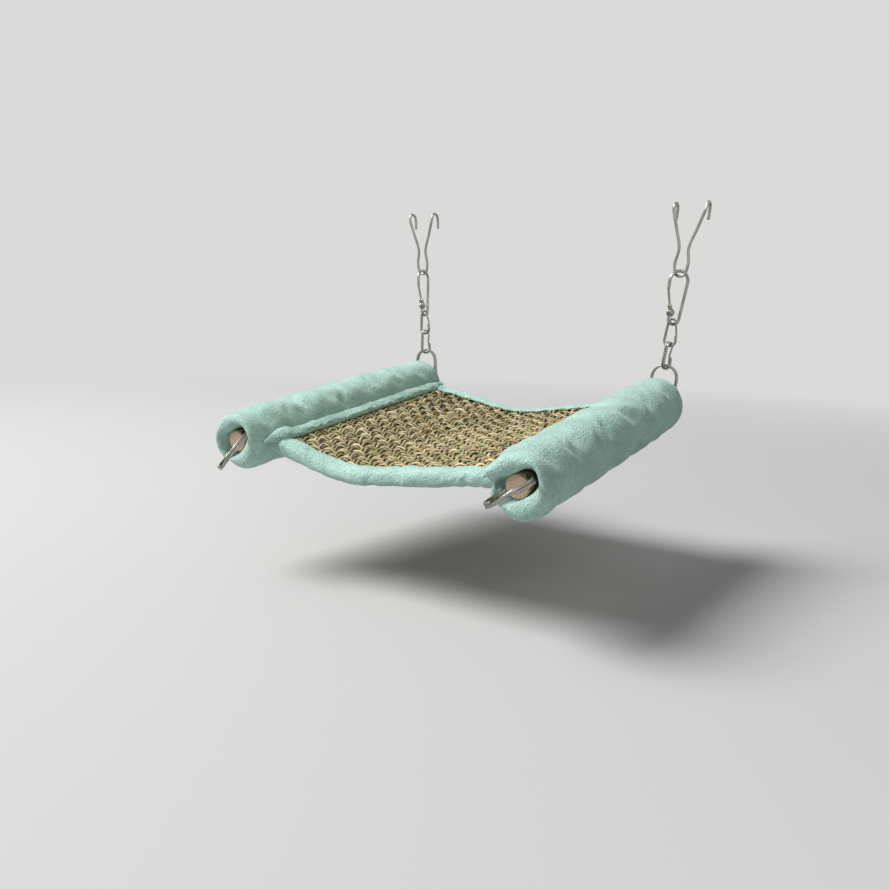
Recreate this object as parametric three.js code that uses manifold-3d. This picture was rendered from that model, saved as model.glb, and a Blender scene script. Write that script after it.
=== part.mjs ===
// A bird hammock: a woven seagrass mat slung between two padded fleece rolls, hung by two chains.
// Millimetres, +Z up, +Y to the back, origin midway between the hangers at the seats of their roof hooks.
import * as THREE from 'three';
import { mergeVertices } from 'three/addons/utils/BufferGeometryUtils.js';
import Module from 'manifold-3d';

const wasm = await Module();
wasm.setup();

// Rolls: a fleece sleeve round padding and a dowel
const ROLL_SPACING = 213;
const ROLL_LENGTH = 221;
const ROLL_RADIUS = 20;
const COVER_WALL = 3.2;
const HEM_DEPTH = 8;
const BUMP_COUNT = 6;
const DENT_DEPTH = 1.5;
const COVER_RINGS = 30;
const COVER_SIDES = 20;
const HEM_STEPS = 6;

// Dowels with a cross hole near each end
const DOWEL_DIAMETER = 14;
const DOWEL_CHAMFER = 0.8;
const DOWEL_SIDES = 20;
const HOLE_DIAMETER = 6.8;
const HOLE_SIDES = 12;
const HOLE_INSET = 5;
const BACK_HOLE_STANDOFF = 5.5;
const FRONT_RECESS = 0.5;

// Mat, its fleece bindings and the strips that join it to the rolls
const MAT_THICKNESS = 4;
const MAT_FRONT_MARGIN = 13;
const MAT_BACK_MARGIN = 7;
const MAT_SAG = 14;
const MAT_EDGE_DROP = 2;
const CREASE_FRONT_X = -28;
const CREASE_BACK_X = -4;
const CREASE_SOFTNESS = 0.16;
const MAT_STEPS_X = 28;
const MAT_STEPS_Y = 5;
const BINDING_WIDTH = 10.5;
const BINDING_WALL = 2.4;
const STRIP_WIDTH = 9;
const STRIP_THICKNESS = 4;
const STRIP_STEPS = 12;

// Front split rings: flat wire wound twice, sunk below the middle of a cross hole and passing a sleeve's mouth
const RING_DIAMETER = 30;
const RING_WIRE_AXIAL = 1.6;
const RING_WIRE_RADIAL = 1.5;
const RING_SINK = 1.6;
const MOUTH_INSET = 2;
const RING_START = -45;
const RING_STEPS = 46;

// Back rings: split rings drawn out to an oval that stands clear of its dowel's sides
const OVAL_HEIGHT = 30.1;
const OVAL_SIDE_GAP = 1.7;
const OVAL_CORNER = 5;
const OVAL_STEPS = 60;

// Chain links: round wire wound twice into a teardrop
const LINK_WIRE = 1.3;
const LINK_LENGTH = 21.2;
const LINK_WIDTH = 10;
const LINK_TOP_WIDTH = 7.7;
const LINK_STEPS = 46;
const LINK_SIDES = 6;
const LOWER_LINK_TWIST = 75;
const UPPER_LINK_TWIST = -5;

// Windings of two turns
const TURN_GAP = 0.5;
const TURNS = 1.82;
const CLIMB_START = 0.84;
const CLIMB_END = 1;
const GAP_SAMPLES = 240;

// Snap hooks with a sprung gate
const HOOK_LENGTH = 41;
const HOOK_WIDTH = 17.4;
const HOOK_WIRE = 2.4;
const HOOK_FOOT_RADIUS = 4.3;
const HOOK_FOOT_OFFSET = 0.4;
const HOOK_NOSE_HEIGHT = 25;
const HOOK_STEPS = 54;
const HOOK_SIDES = 6;
const HOOK_TWIST = { left: 90, right: 50 };
const EYE_RADIUS = 3.3;
const EYE_THICKNESS = 1.4;
const EYE_SIDES = 16;
const EYE_OFFSET = -3.1;
const EYE_HEIGHT = 8.3;
const GATE_WIRE = 1.7;
const GATE_CHEEK = 0.9;
const GATE_CHEEK_RADIUS = 2.6;
const GATE_STEPS = 6;
const GATE_STEM_START = 4.4;
const RIVET_DIAMETER = 1.6;
const RIVET_HEAD_DIAMETER = 3;
const RIVET_HEAD = 0.7;
const RIVET_SIDES = 12;

// Roof hangers: a pinched V of wire whose legs hook over a roof bar
const HANGER_WIRE = 2.2;
const HANGER_FOOT_HALF = 4.2;
const HANGER_BULGE_HALF = 4.9;
const HANGER_BULGE_RISE = 9.5;
const HANGER_WAIST_HALF = 3.5;
const HANGER_WAIST_RISE = 20;
const HANGER_TOP_HALF = 11.7;
const ROOF_HOOK_RADIUS = 3.3;
const ROOF_HOOK_TAIL = 7;
const HANGER_STEPS = 84;
const HANGER_SIDES = 6;

// How it hangs
const DROP = 143.92;
const CHAIN_LEAN = 4.5;
const HANG_PITCH = 7;
const FRONT_HOLE_TILT = { left: 42, right: 30 };
const FRONT_RING_DROOP = { left: 26, right: 2 };

// Clearances, and the distance below which two vertices are one
const SEAT_GAP = 0.3;
const SLEEVE_GAP = 0.4;
const MERGE_DISTANCE = 1e-4;

// Derived sizes
const SIDES = { left: -1, right: 1 };
const RING_PITCH = RING_WIRE_AXIAL + TURN_GAP;
const RING_MID_RADIUS = (RING_DIAMETER - RING_WIRE_RADIAL) / 2;
const RING_LIFT = RING_DIAMETER / 2 - RING_SINK;
const MOUTH_RADIUS = RING_DIAMETER / 2 - MOUTH_INSET;
const OVAL_MID_RADIUS = DOWEL_DIAMETER / 2 + OVAL_SIDE_GAP + RING_WIRE_RADIAL / 2;
const LINK_PITCH = LINK_WIRE + TURN_GAP;
const LINK_RISE = LINK_LENGTH - LINK_WIRE;
const HOOK_RISE = HOOK_LENGTH - HOOK_WIRE;
const ROLL_BACK_Y = -BACK_HOLE_STANDOFF;
const ROLL_FRONT_Y = ROLL_BACK_Y - ROLL_LENGTH;
const ROLL_MID_Y = (ROLL_BACK_Y + ROLL_FRONT_Y) / 2;
const DOWEL_BACK_Y = HOLE_INSET;
const DOWEL_FRONT_Y = ROLL_FRONT_Y + FRONT_RECESS;
const FRONT_HOLE_Y = DOWEL_FRONT_Y + HOLE_INSET;
const COVER_INNER_RADIUS = ROLL_RADIUS - COVER_WALL;
const MAT_HALF_X = ROLL_SPACING / 2 - ROLL_RADIUS - SLEEVE_GAP;
const BINDING_FRONT_Y = ROLL_FRONT_Y + MAT_FRONT_MARGIN;
const BINDING_BACK_Y = ROLL_BACK_Y - MAT_BACK_MARGIN;
const MAT_FRONT_Y = BINDING_FRONT_Y + BINDING_WALL + SEAT_GAP;
const MAT_BACK_Y = BINDING_BACK_Y - BINDING_WALL - SEAT_GAP;

// How deep a piece lies in a bend that it crosses, both given with their half thickness
function seatDepth(bendRadius, bendHalf, pieceHalf, twist, otherTwist) {
  const crossing = THREE.MathUtils.degToRad(twist - otherTwist);
  const halfWidth = pieceHalf / Math.abs(Math.sin(crossing)) + bendHalf / Math.abs(Math.tan(crossing));
  return bendRadius - Math.sqrt(bendRadius ** 2 - halfWidth ** 2);
}

// Heights along a chain, measured up from the back cross hole to wire centres
const RING_HALF = (RING_PITCH + RING_WIRE_AXIAL) / 2;
const LINK_HALF = (LINK_PITCH + LINK_WIRE) / 2;
const LINK_FOOT_INNER = LINK_WIDTH / 2 - LINK_WIRE;
const LINK_TOP_INNER = LINK_TOP_WIDTH / 2 - LINK_WIRE;
const OVAL_INNER = OVAL_MID_RADIUS - RING_WIRE_RADIAL / 2;
const HOOK_FOOT_INNER = HOOK_FOOT_RADIUS - HOOK_WIRE / 2;
const HANGER_FOOT_INNER = HANGER_FOOT_HALF - HANGER_WIRE / 2;
const LOWER_LINK_FOOT = OVAL_HEIGHT - RING_SINK - RING_WIRE_RADIAL - SEAT_GAP - LINK_WIRE / 2
  - seatDepth(OVAL_INNER, RING_HALF, LINK_HALF, LOWER_LINK_TWIST, 0)
  - seatDepth(LINK_FOOT_INNER, LINK_HALF, RING_HALF, LOWER_LINK_TWIST, 0);
const UPPER_LINK_FOOT = LOWER_LINK_FOOT + LINK_RISE - SEAT_GAP - LINK_WIRE
  - seatDepth(LINK_TOP_INNER, LINK_HALF, LINK_HALF, LOWER_LINK_TWIST, UPPER_LINK_TWIST)
  - seatDepth(LINK_FOOT_INNER, LINK_HALF, LINK_HALF, LOWER_LINK_TWIST, UPPER_LINK_TWIST);
const HOOK_FOOT = UPPER_LINK_FOOT + LINK_RISE - SEAT_GAP - (LINK_WIRE + HOOK_WIRE) / 2
  - seatDepth(HOOK_FOOT_INNER, HOOK_WIRE / 2, LINK_HALF, HOOK_TWIST.right, UPPER_LINK_TWIST);
const HOOK_TOP = HOOK_FOOT + HOOK_RISE;
const LEAN = THREE.MathUtils.degToRad(CHAIN_LEAN);
const PITCH = THREE.MathUtils.degToRad(HANG_PITCH);
const CHAIN_Y = -ROOF_HOOK_RADIUS - HANGER_WIRE / 2;

// Place of a hanger's foot, which depends on how its hook crosses it
function hangerFoot(name) {
  const depth = seatDepth(HANGER_FOOT_INNER, HANGER_WIRE / 2, HOOK_WIRE / 2, HOOK_TWIST[name], 0);
  const height = HOOK_TOP - SEAT_GAP - (HOOK_WIRE + HANGER_WIRE) / 2 - depth;
  const x = SIDES[name] * (ROLL_SPACING / 2 + height * Math.sin(LEAN));
  return new THREE.Vector3(x, CHAIN_Y, height * Math.cos(LEAN) - DROP);
}

const FLEECE = new THREE.MeshStandardMaterial({ color: 0x9fcaba, roughness: 0.95, metalness: 0 });
const WADDING = new THREE.MeshStandardMaterial({ color: 0xe8e6dd, roughness: 1, metalness: 0 });
const SEAGRASS = new THREE.MeshStandardMaterial({ color: 0xb8a468, roughness: 0.85, metalness: 0 });
const WOOD = new THREE.MeshStandardMaterial({ color: 0xc8a67a, roughness: 0.7, metalness: 0 });
const STEEL = new THREE.MeshStandardMaterial({ color: 0xb9b8b2, roughness: 0.28, metalness: 1 });

// A geometry with its shared vertices merged and its faces turned outwards
function closed(geometry) {
  geometry.deleteAttribute('normal');
  geometry.deleteAttribute('uv');
  const merged = mergeVertices(geometry, MERGE_DISTANCE);
  const position = merged.attributes.position;
  const index = merged.index;
  const [a, b, c] = [new THREE.Vector3(), new THREE.Vector3(), new THREE.Vector3()];
  const kept = [];
  let volume = 0;
  for (let i = 0; i < index.count; i += 3) {
    const [p, q, r] = [index.getX(i), index.getX(i + 1), index.getX(i + 2)];
    if (p === q || q === r || r === p) continue;
    a.fromBufferAttribute(position, p);
    b.fromBufferAttribute(position, q);
    c.fromBufferAttribute(position, r);
    volume += a.dot(b.cross(c));
    kept.push(p, q, r);
  }
  if (volume < 0) kept.reverse();
  merged.setIndex(kept);
  merged.computeVertexNormals();
  return merged;
}

function toSolid(geometry) {
  const shell = closed(geometry);
  const vertProperties = new Float32Array(shell.attributes.position.array);
  const triVerts = new Uint32Array(shell.index.array);
  return new wasm.Manifold(new wasm.Mesh({ numProp: 3, vertProperties, triVerts }));
}

function fromSolid(solid) {
  const mesh = solid.getMesh();
  const geometry = new THREE.BufferGeometry();
  geometry.setAttribute('position', new THREE.BufferAttribute(new Float32Array(mesh.vertProperties), 3));
  geometry.setIndex(Array.from(mesh.triVerts));
  geometry.computeVertexNormals();
  return geometry;
}

function addPart(group, name, geometry, material) {
  const part = new THREE.Mesh(geometry, material);
  part.name = name;
  group.add(part);
  return part;
}

function polygon(radius, sides) {
  const shape = new THREE.Shape();
  for (let i = 0; i < sides; i += 1) {
    const angle = (2 * Math.PI * (i + 0.5)) / sides;
    const [x, y] = [radius * Math.cos(angle), radius * Math.sin(angle)];
    if (i === 0) shape.moveTo(x, y);
    else shape.lineTo(x, y);
  }
  shape.closePath();
  return shape;
}

function rectangle(width, height) {
  const shape = new THREE.Shape();
  shape.moveTo(-width / 2, -height / 2);
  shape.lineTo(width / 2, -height / 2);
  shape.lineTo(width / 2, height / 2);
  shape.lineTo(-width / 2, height / 2);
  shape.closePath();
  return shape;
}

function sweep(section, curve, steps) {
  return closed(new THREE.ExtrudeGeometry(section, { steps, extrudePath: curve }));
}

// A flat outline followed as a wire, wound more than once round if turns is over 1
class Winding extends THREE.Curve {
  constructor(outline, turns = 1, pitch = 0) {
    super();
    this.outline = outline;
    this.turns = turns;
    this.pitch = pitch;
  }

  getPoint(t, target = new THREE.Vector3()) {
    const turn = t * this.turns;
    const around = this.turns > 1 ? turn % 1 : turn;
    const flat = this.outline.getPointAt(Math.min(around, 1));
    const climb = THREE.MathUtils.smoothstep(turn, CLIMB_START, CLIMB_END);
    const rise = this.turns > 1 ? this.pitch * (climb - 0.5) : 0;
    return target.set(flat.x, flat.y, rise);
  }
}

// The least distance between stretches of a winding that are more than half a turn apart
function leastGap(curve, thickness) {
  const points = curve.getSpacedPoints(GAP_SAMPLES);
  const apart = Math.round(GAP_SAMPLES / curve.turns / 2);
  let least = Infinity;
  for (let i = 0; i < points.length; i += 1) {
    for (let j = i + apart; j < points.length; j += 1) {
      least = Math.min(least, points[i].distanceTo(points[j]) - thickness);
    }
  }
  return least;
}

// Roll cover: a fleece sleeve with rolled hems and helical dents between its bumps
function rollCoverGeometry() {
  const hemRadius = (ROLL_RADIUS - MOUTH_RADIUS) / 2;
  const hemMid = (ROLL_RADIUS + MOUTH_RADIUS) / 2;
  const half = ROLL_LENGTH / 2;
  const profile = [];
  for (let i = 0; i <= COVER_RINGS; i += 1) {
    const y = (half - hemRadius) * ((2 * i) / COVER_RINGS - 1);
    profile.push(new THREE.Vector2(ROLL_RADIUS, y));
  }
  for (const end of [1, -1]) {
    const inner = [];
    for (let i = 1; i <= HEM_STEPS; i += 1) {
      const angle = (Math.PI * i) / HEM_STEPS;
      const y = end * (half - hemRadius + hemRadius * Math.sin(angle));
      inner.push(new THREE.Vector2(hemMid + hemRadius * Math.cos(angle), y));
    }
    inner.push(new THREE.Vector2(MOUTH_RADIUS, end * (half - HEM_DEPTH)));
    inner.push(new THREE.Vector2(COVER_INNER_RADIUS, end * (half - HEM_DEPTH)));
    profile.push(...(end > 0 ? inner : inner.reverse()));
  }
  profile.push(profile[0].clone());
  const geometry = new THREE.LatheGeometry(profile, COVER_SIDES);
  const position = geometry.attributes.position;
  for (let i = 0; i < position.count; i += 1) {
    const [x, y, z] = [position.getX(i), position.getY(i), position.getZ(i)];
    const radius = Math.hypot(x, z);
    const outer = THREE.MathUtils.smoothstep(radius, COVER_INNER_RADIUS, ROLL_RADIUS);
    const phase = (2 * Math.PI * y * BUMP_COUNT) / ROLL_LENGTH + Math.atan2(z, x);
    const dent = DENT_DEPTH * outer * ((1 - Math.cos(phase)) / 2) ** 2;
    position.setX(i, x * (1 - dent / radius));
    position.setZ(i, z * (1 - dent / radius));
  }
  return closed(geometry);
}

function paddingGeometry() {
  const inner = DOWEL_DIAMETER / 2 + SEAT_GAP;
  const outer = COVER_INNER_RADIUS - SEAT_GAP;
  const half = ROLL_LENGTH / 2 - HEM_DEPTH - SEAT_GAP;
  const profile = [
    new THREE.Vector2(inner, -half),
    new THREE.Vector2(outer, -half),
    new THREE.Vector2(outer, half),
    new THREE.Vector2(inner, half),
    new THREE.Vector2(inner, -half),
  ];
  return closed(new THREE.LatheGeometry(profile, COVER_SIDES));
}

// Dowel along Y with its back hole level and its front hole tilted
function dowelGeometry(frontTilt) {
  const radius = DOWEL_DIAMETER / 2;
  const profile = [
    new THREE.Vector2(0, DOWEL_FRONT_Y),
    new THREE.Vector2(radius - DOWEL_CHAMFER, DOWEL_FRONT_Y),
    new THREE.Vector2(radius, DOWEL_FRONT_Y + DOWEL_CHAMFER),
    new THREE.Vector2(radius, DOWEL_BACK_Y - DOWEL_CHAMFER),
    new THREE.Vector2(radius - DOWEL_CHAMFER, DOWEL_BACK_Y),
    new THREE.Vector2(0, DOWEL_BACK_Y),
  ];
  const bar = toSolid(new THREE.LatheGeometry(profile, DOWEL_SIDES));
  const bore = HOLE_DIAMETER / 2;
  const drill = (y, tilt) => {
    const bit = new THREE.CylinderGeometry(bore, bore, 2 * DOWEL_DIAMETER, HOLE_SIDES);
    bit.rotateZ(Math.PI / 2).rotateY(-tilt).translate(0, y, 0);
    return toSolid(bit);
  };
  const tilt = THREE.MathUtils.degToRad(frontTilt);
  return fromSolid(bar.subtract(drill(0, 0)).subtract(drill(FRONT_HOLE_Y, tilt)));
}

// Height of the mat's middle surface, which sags to a slanting crease
function matHeight(x, y) {
  const along = (y - ROLL_FRONT_Y) / ROLL_LENGTH;
  const crease = THREE.MathUtils.lerp(CREASE_FRONT_X, CREASE_BACK_X, along);
  const reach = x > crease ? MAT_HALF_X - crease : -MAT_HALF_X - crease;
  const share = Math.min((x - crease) / reach, 1);
  const soft = (Math.hypot(share, CREASE_SOFTNESS) - CREASE_SOFTNESS)
    / (Math.hypot(1, CREASE_SOFTNESS) - CREASE_SOFTNESS);
  return -MAT_EDGE_DROP - MAT_SAG * (1 - soft);
}

// Bends a solid that was extruded along X from a section of (y, height) onto the mat's surface
function layAcross(section, halfX) {
  const depth = 2 * halfX;
  const geometry = new THREE.ExtrudeGeometry(section, { steps: MAT_STEPS_X, depth, bevelEnabled: false });
  const position = geometry.attributes.position;
  for (let i = 0; i < position.count; i += 1) {
    const [y, height, x] = [position.getX(i), position.getY(i), position.getZ(i) - halfX];
    position.setXYZ(i, x, y, height + matHeight(x, y));
  }
  return closed(geometry);
}

function matGeometry() {
  const section = new THREE.Shape();
  const half = MAT_THICKNESS / 2;
  section.moveTo(MAT_FRONT_Y, -half);
  for (let i = 1; i <= MAT_STEPS_Y; i += 1) {
    section.lineTo(THREE.MathUtils.lerp(MAT_FRONT_Y, MAT_BACK_Y, i / MAT_STEPS_Y), -half);
  }
  for (let i = MAT_STEPS_Y; i >= 0; i -= 1) {
    section.lineTo(THREE.MathUtils.lerp(MAT_FRONT_Y, MAT_BACK_Y, i / MAT_STEPS_Y), half);
  }
  section.closePath();
  return layAcross(section, MAT_HALF_X);
}

// Binding: a fleece band folded over one edge of the mat, edgeY outside and inward pointing to the mat
function bindingGeometry(edgeY, inward) {
  const slot = MAT_THICKNESS / 2 + SEAT_GAP;
  const outer = slot + BINDING_WALL;
  const at = (distance) => edgeY + inward * distance;
  const section = new THREE.Shape();
  section.moveTo(at(BINDING_WIDTH), slot);
  section.lineTo(at(BINDING_WALL), slot);
  section.lineTo(at(BINDING_WALL), -slot);
  section.lineTo(at(BINDING_WIDTH), -slot);
  section.lineTo(at(BINDING_WIDTH), -slot - BINDING_WALL / 2);
  section.lineTo(at(BINDING_WIDTH - BINDING_WALL / 2), -outer);
  section.lineTo(at(BINDING_WALL), -outer);
  section.lineTo(at(BINDING_WALL / 4), -slot);
  section.lineTo(at(0), 0);
  section.lineTo(at(BINDING_WALL / 4), slot);
  section.lineTo(at(BINDING_WALL), outer);
  section.lineTo(at(BINDING_WIDTH - BINDING_WALL / 2), outer);
  section.lineTo(at(BINDING_WIDTH), slot + BINDING_WALL / 2);
  section.closePath();
  return layAcross(section, MAT_HALF_X);
}

// Strip: a fleece band along a roll, lying on the mat's side edge between the two bindings
function stripGeometry(side) {
  const front = BINDING_FRONT_Y + BINDING_WIDTH + SEAT_GAP;
  const back = BINDING_BACK_Y - BINDING_WIDTH - SEAT_GAP;
  const foot = MAT_THICKNESS / 2 + SEAT_GAP;
  const round = STRIP_THICKNESS / 2;
  const section = new THREE.Shape();
  section.moveTo(0, foot);
  section.lineTo(STRIP_WIDTH, foot);
  section.lineTo(STRIP_WIDTH, foot + round);
  section.lineTo(STRIP_WIDTH - round, foot + STRIP_THICKNESS);
  section.lineTo(round, foot + STRIP_THICKNESS);
  section.lineTo(0, foot + round);
  section.closePath();
  const depth = back - front;
  const geometry = new THREE.ExtrudeGeometry(section, { steps: STRIP_STEPS, depth, bevelEnabled: false });
  const position = geometry.attributes.position;
  for (let i = 0; i < position.count; i += 1) {
    const [inset, height, along] = [position.getX(i), position.getY(i), position.getZ(i)];
    const x = side * (MAT_HALF_X - inset);
    const y = front + along;
    position.setXYZ(i, x, y, height + matHeight(x, y));
  }
  return closed(geometry);
}

function ringWinding() {
  const start = THREE.MathUtils.degToRad(RING_START);
  const circle = new THREE.Path().absarc(0, 0, RING_MID_RADIUS, start, start + 2 * Math.PI);
  return new Winding(circle, TURNS, RING_PITCH);
}

// Oval outline of a back ring's wire centre about its cross hole: its foot is bent like a front ring
function ovalOutline() {
  const foot = RING_LIFT;
  const cornerX = OVAL_MID_RADIUS - OVAL_CORNER;
  const footReach = RING_MID_RADIUS - OVAL_CORNER;
  const cornerY = foot - Math.sqrt(footReach ** 2 - cornerX ** 2);
  const spread = Math.asin(cornerX / footReach);
  const top = OVAL_HEIGHT - RING_SINK - RING_WIRE_RADIAL / 2 - OVAL_MID_RADIUS;
  const [down, round] = [-Math.PI / 2, 2 * Math.PI];
  const outline = new THREE.Path();
  outline.moveTo(OVAL_MID_RADIUS, cornerY);
  outline.absarc(0, top, OVAL_MID_RADIUS, 0, Math.PI);
  outline.absarc(-cornerX, cornerY, OVAL_CORNER, Math.PI, round + down - spread);
  outline.absarc(0, foot, RING_MID_RADIUS, down - spread, down + spread);
  outline.absarc(cornerX, cornerY, OVAL_CORNER, down + spread, 0);
  return outline;
}

// Teardrop outline of a link's wire centre, standing on its foot
function linkOutline() {
  const foot = (LINK_WIDTH - LINK_WIRE) / 2;
  const top = (LINK_TOP_WIDTH - LINK_WIRE) / 2;
  const tilt = Math.asin((foot - top) / (LINK_RISE - foot - top));
  const outline = new THREE.Path();
  outline.absarc(0, LINK_RISE - top, top, tilt, Math.PI - tilt);
  outline.absarc(0, foot, foot, Math.PI - tilt, 2 * Math.PI + tilt);
  outline.closePath();
  return outline;
}

// Hook body, from its nose over the wide top, down the spine and round the foot to the eye
function hookOutline() {
  const topRadius = (HOOK_WIDTH - HOOK_WIRE) / 2;
  const top = new THREE.Vector2(0, HOOK_RISE - topRadius);
  const foot = new THREE.Vector2(HOOK_FOOT_OFFSET, HOOK_FOOT_RADIUS);
  const eye = new THREE.Vector2(EYE_OFFSET, EYE_HEIGHT);
  const spine = foot.clone().sub(top);
  const lean = Math.atan2(-spine.x, -spine.y);
  const tilt = Math.asin((topRadius - HOOK_FOOT_RADIUS) / spine.length());
  const spineAngle = -lean - tilt;
  const fromFoot = eye.clone().sub(foot);
  const eyeAngle = Math.atan2(fromFoot.y, fromFoot.x) + Math.acos(HOOK_FOOT_RADIUS / fromFoot.length());
  const leave = new THREE.Vector2(HOOK_FOOT_RADIUS, 0).rotateAround(new THREE.Vector2(), eyeAngle).add(foot);
  const shortened = eye.distanceTo(leave) - EYE_RADIUS + SEAT_GAP;
  const end = leave.clone().lerp(eye, shortened / eye.distanceTo(leave));
  const outline = new THREE.Path();
  outline.moveTo(-topRadius, HOOK_NOSE_HEIGHT);
  outline.lineTo(-topRadius, top.y);
  outline.absarc(top.x, top.y, topRadius, Math.PI, spineAngle, true);
  outline.absarc(foot.x, foot.y, HOOK_FOOT_RADIUS, spineAngle, eyeAngle, true);
  outline.lineTo(end.x, end.y);
  return outline;
}

function disc(radius, thickness, sides) {
  return new THREE.CylinderGeometry(radius, radius, thickness, sides).rotateX(Math.PI / 2);
}

function hookGeometry() {
  const body = toSolid(sweep(polygon(HOOK_WIRE / 2, HOOK_SIDES), new Winding(hookOutline()), HOOK_STEPS));
  const eye = toSolid(disc(EYE_RADIUS, EYE_THICKNESS, EYE_SIDES).translate(EYE_OFFSET, EYE_HEIGHT, 0));
  const bore = disc(RIVET_DIAMETER / 2 + SEAT_GAP, 2 * EYE_THICKNESS, RIVET_SIDES);
  return fromSolid(body.add(eye).subtract(toSolid(bore.translate(EYE_OFFSET, EYE_HEIGHT, 0))));
}

// Gate: a wire stem whose forked foot straddles the hook's eye
function gateGeometry() {
  const eye = new THREE.Vector3(EYE_OFFSET, EYE_HEIGHT, 0);
  const nose = new THREE.Vector3(-(HOOK_WIDTH - HOOK_WIRE) / 2, HOOK_NOSE_HEIGHT - SEAT_GAP, 0);
  const rise = nose.distanceTo(eye);
  const cheekMid = EYE_THICKNESS / 2 + SEAT_GAP + GATE_CHEEK / 2;
  const fork = 2 * cheekMid + GATE_CHEEK;
  const stemFoot = new THREE.Vector3(0, GATE_STEM_START, 0);
  const stem = new THREE.LineCurve3(stemFoot, new THREE.Vector3(0, rise, 0));
  let gate = toSolid(sweep(polygon(GATE_WIRE / 2, HOOK_SIDES), stem, GATE_STEPS));
  const bridge = new THREE.BoxGeometry(GATE_WIRE, GATE_WIRE, fork);
  gate = gate.add(toSolid(bridge.translate(0, GATE_STEM_START + GATE_WIRE / 2, 0)));
  for (const face of [1, -1]) {
    const armLength = GATE_STEM_START + GATE_WIRE;
    const arm = new THREE.BoxGeometry(GATE_WIRE, armLength, GATE_CHEEK);
    const cheek = disc(GATE_CHEEK_RADIUS, GATE_CHEEK, EYE_SIDES);
    gate = gate.add(toSolid(arm.translate(0, armLength / 2, face * cheekMid)));
    gate = gate.add(toSolid(cheek.translate(0, 0, face * cheekMid)));
  }
  gate = gate.subtract(toSolid(disc(RIVET_DIAMETER / 2 + SEAT_GAP, 2 * fork, RIVET_SIDES)));
  const turn = Math.atan2(nose.y - eye.y, nose.x - eye.x) - Math.PI / 2;
  return fromSolid(gate).rotateZ(turn).translate(eye.x, eye.y, 0);
}

function rivetGeometry() {
  const pin = RIVET_DIAMETER / 2;
  const head = RIVET_HEAD_DIAMETER / 2;
  const seat = EYE_THICKNESS / 2 + 2 * SEAT_GAP + GATE_CHEEK;
  const profile = [
    new THREE.Vector2(0, -seat - RIVET_HEAD),
    new THREE.Vector2(pin, -seat - RIVET_HEAD),
    new THREE.Vector2(head, -seat - RIVET_HEAD / 2),
    new THREE.Vector2(head, -seat),
    new THREE.Vector2(pin, -seat),
    new THREE.Vector2(pin, seat),
    new THREE.Vector2(head, seat),
    new THREE.Vector2(head, seat + RIVET_HEAD / 2),
    new THREE.Vector2(pin, seat + RIVET_HEAD),
    new THREE.Vector2(0, seat + RIVET_HEAD),
  ];
  const lathe = new THREE.LatheGeometry(profile, RIVET_SIDES);
  return closed(lathe.rotateX(Math.PI / 2).translate(EYE_OFFSET, EYE_HEIGHT, 0));
}

// Hanger of a given length: from one roof hook down its leg, through the foot and up to the other
function hangerGeometry(side, length) {
  const shear = Math.tan(LEAN) * side;
  const bend = ROOF_HOOK_RADIUS + HANGER_WIRE / 2;
  const legTop = length - ROOF_HOOK_RADIUS;
  const leg = [
    [HANGER_FOOT_HALF * Math.SQRT1_2, HANGER_FOOT_HALF * (1 - Math.SQRT1_2), 0],
    [HANGER_FOOT_HALF, HANGER_FOOT_HALF, 0],
    [HANGER_BULGE_HALF, HANGER_BULGE_RISE, 0],
    [HANGER_WAIST_HALF, HANGER_WAIST_RISE, 0],
    [(HANGER_WAIST_HALF + HANGER_TOP_HALF) / 2, (HANGER_WAIST_RISE + legTop) / 2, 0],
    [HANGER_TOP_HALF, legTop, 0],
    [HANGER_TOP_HALF, legTop + bend * Math.SQRT1_2, bend * (1 - Math.SQRT1_2)],
    [HANGER_TOP_HALF, legTop + bend, bend],
    [HANGER_TOP_HALF, legTop + bend * Math.SQRT1_2, bend * (1 + Math.SQRT1_2)],
    [HANGER_TOP_HALF, legTop, 2 * bend],
    [HANGER_TOP_HALF, legTop - ROOF_HOOK_TAIL, 2 * bend],
  ];
  const place = (sign) => ([across, up, back]) => new THREE.Vector3(sign * across + shear * up, back, up);
  const path = [...leg.map(place(-1)).reverse(), new THREE.Vector3(), ...leg.map(place(1))];
  const curve = new THREE.CatmullRomCurve3(path, false, 'centripetal');
  return sweep(polygon(HANGER_WIRE / 2, HANGER_SIDES), curve, HANGER_STEPS);
}

// Stands a flat piece upright, turned by twist about the chain and raised by height
function upright(group, twist, height) {
  const frame = new THREE.Group();
  frame.rotation.z = THREE.MathUtils.degToRad(twist);
  frame.position.z = height;
  const face = new THREE.Group();
  face.rotation.x = Math.PI / 2;
  frame.add(face);
  group.add(frame);
  return face;
}

const ring = ringWinding();
const oval = new Winding(ovalOutline(), TURNS, RING_PITCH);
const link = new Winding(linkOutline(), TURNS, LINK_PITCH);
const ringSection = rectangle(RING_WIRE_AXIAL, RING_WIRE_RADIAL);
const linkSection = polygon(LINK_WIRE / 2, LINK_SIDES);
console.log(`split ring, least gap between turns: ${leastGap(ring, RING_WIRE_AXIAL).toFixed(2)} mm`);
console.log(`back ring, least gap between turns: ${leastGap(oval, RING_WIRE_AXIAL).toFixed(2)} mm`);
console.log(`chain link, least gap between turns: ${leastGap(link, LINK_WIRE).toFixed(2)} mm`);

const hammock = new THREE.Group();
hammock.position.set(0, CHAIN_Y, -DROP);
hammock.rotation.x = PITCH;

addPart(hammock, 'seagrass_mat', matGeometry(), SEAGRASS);
addPart(hammock, 'binding_front', bindingGeometry(BINDING_FRONT_Y, 1), FLEECE);
addPart(hammock, 'binding_back', bindingGeometry(BINDING_BACK_Y, -1), FLEECE);

const birdHammock = new THREE.Group();
birdHammock.add(hammock);

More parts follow.
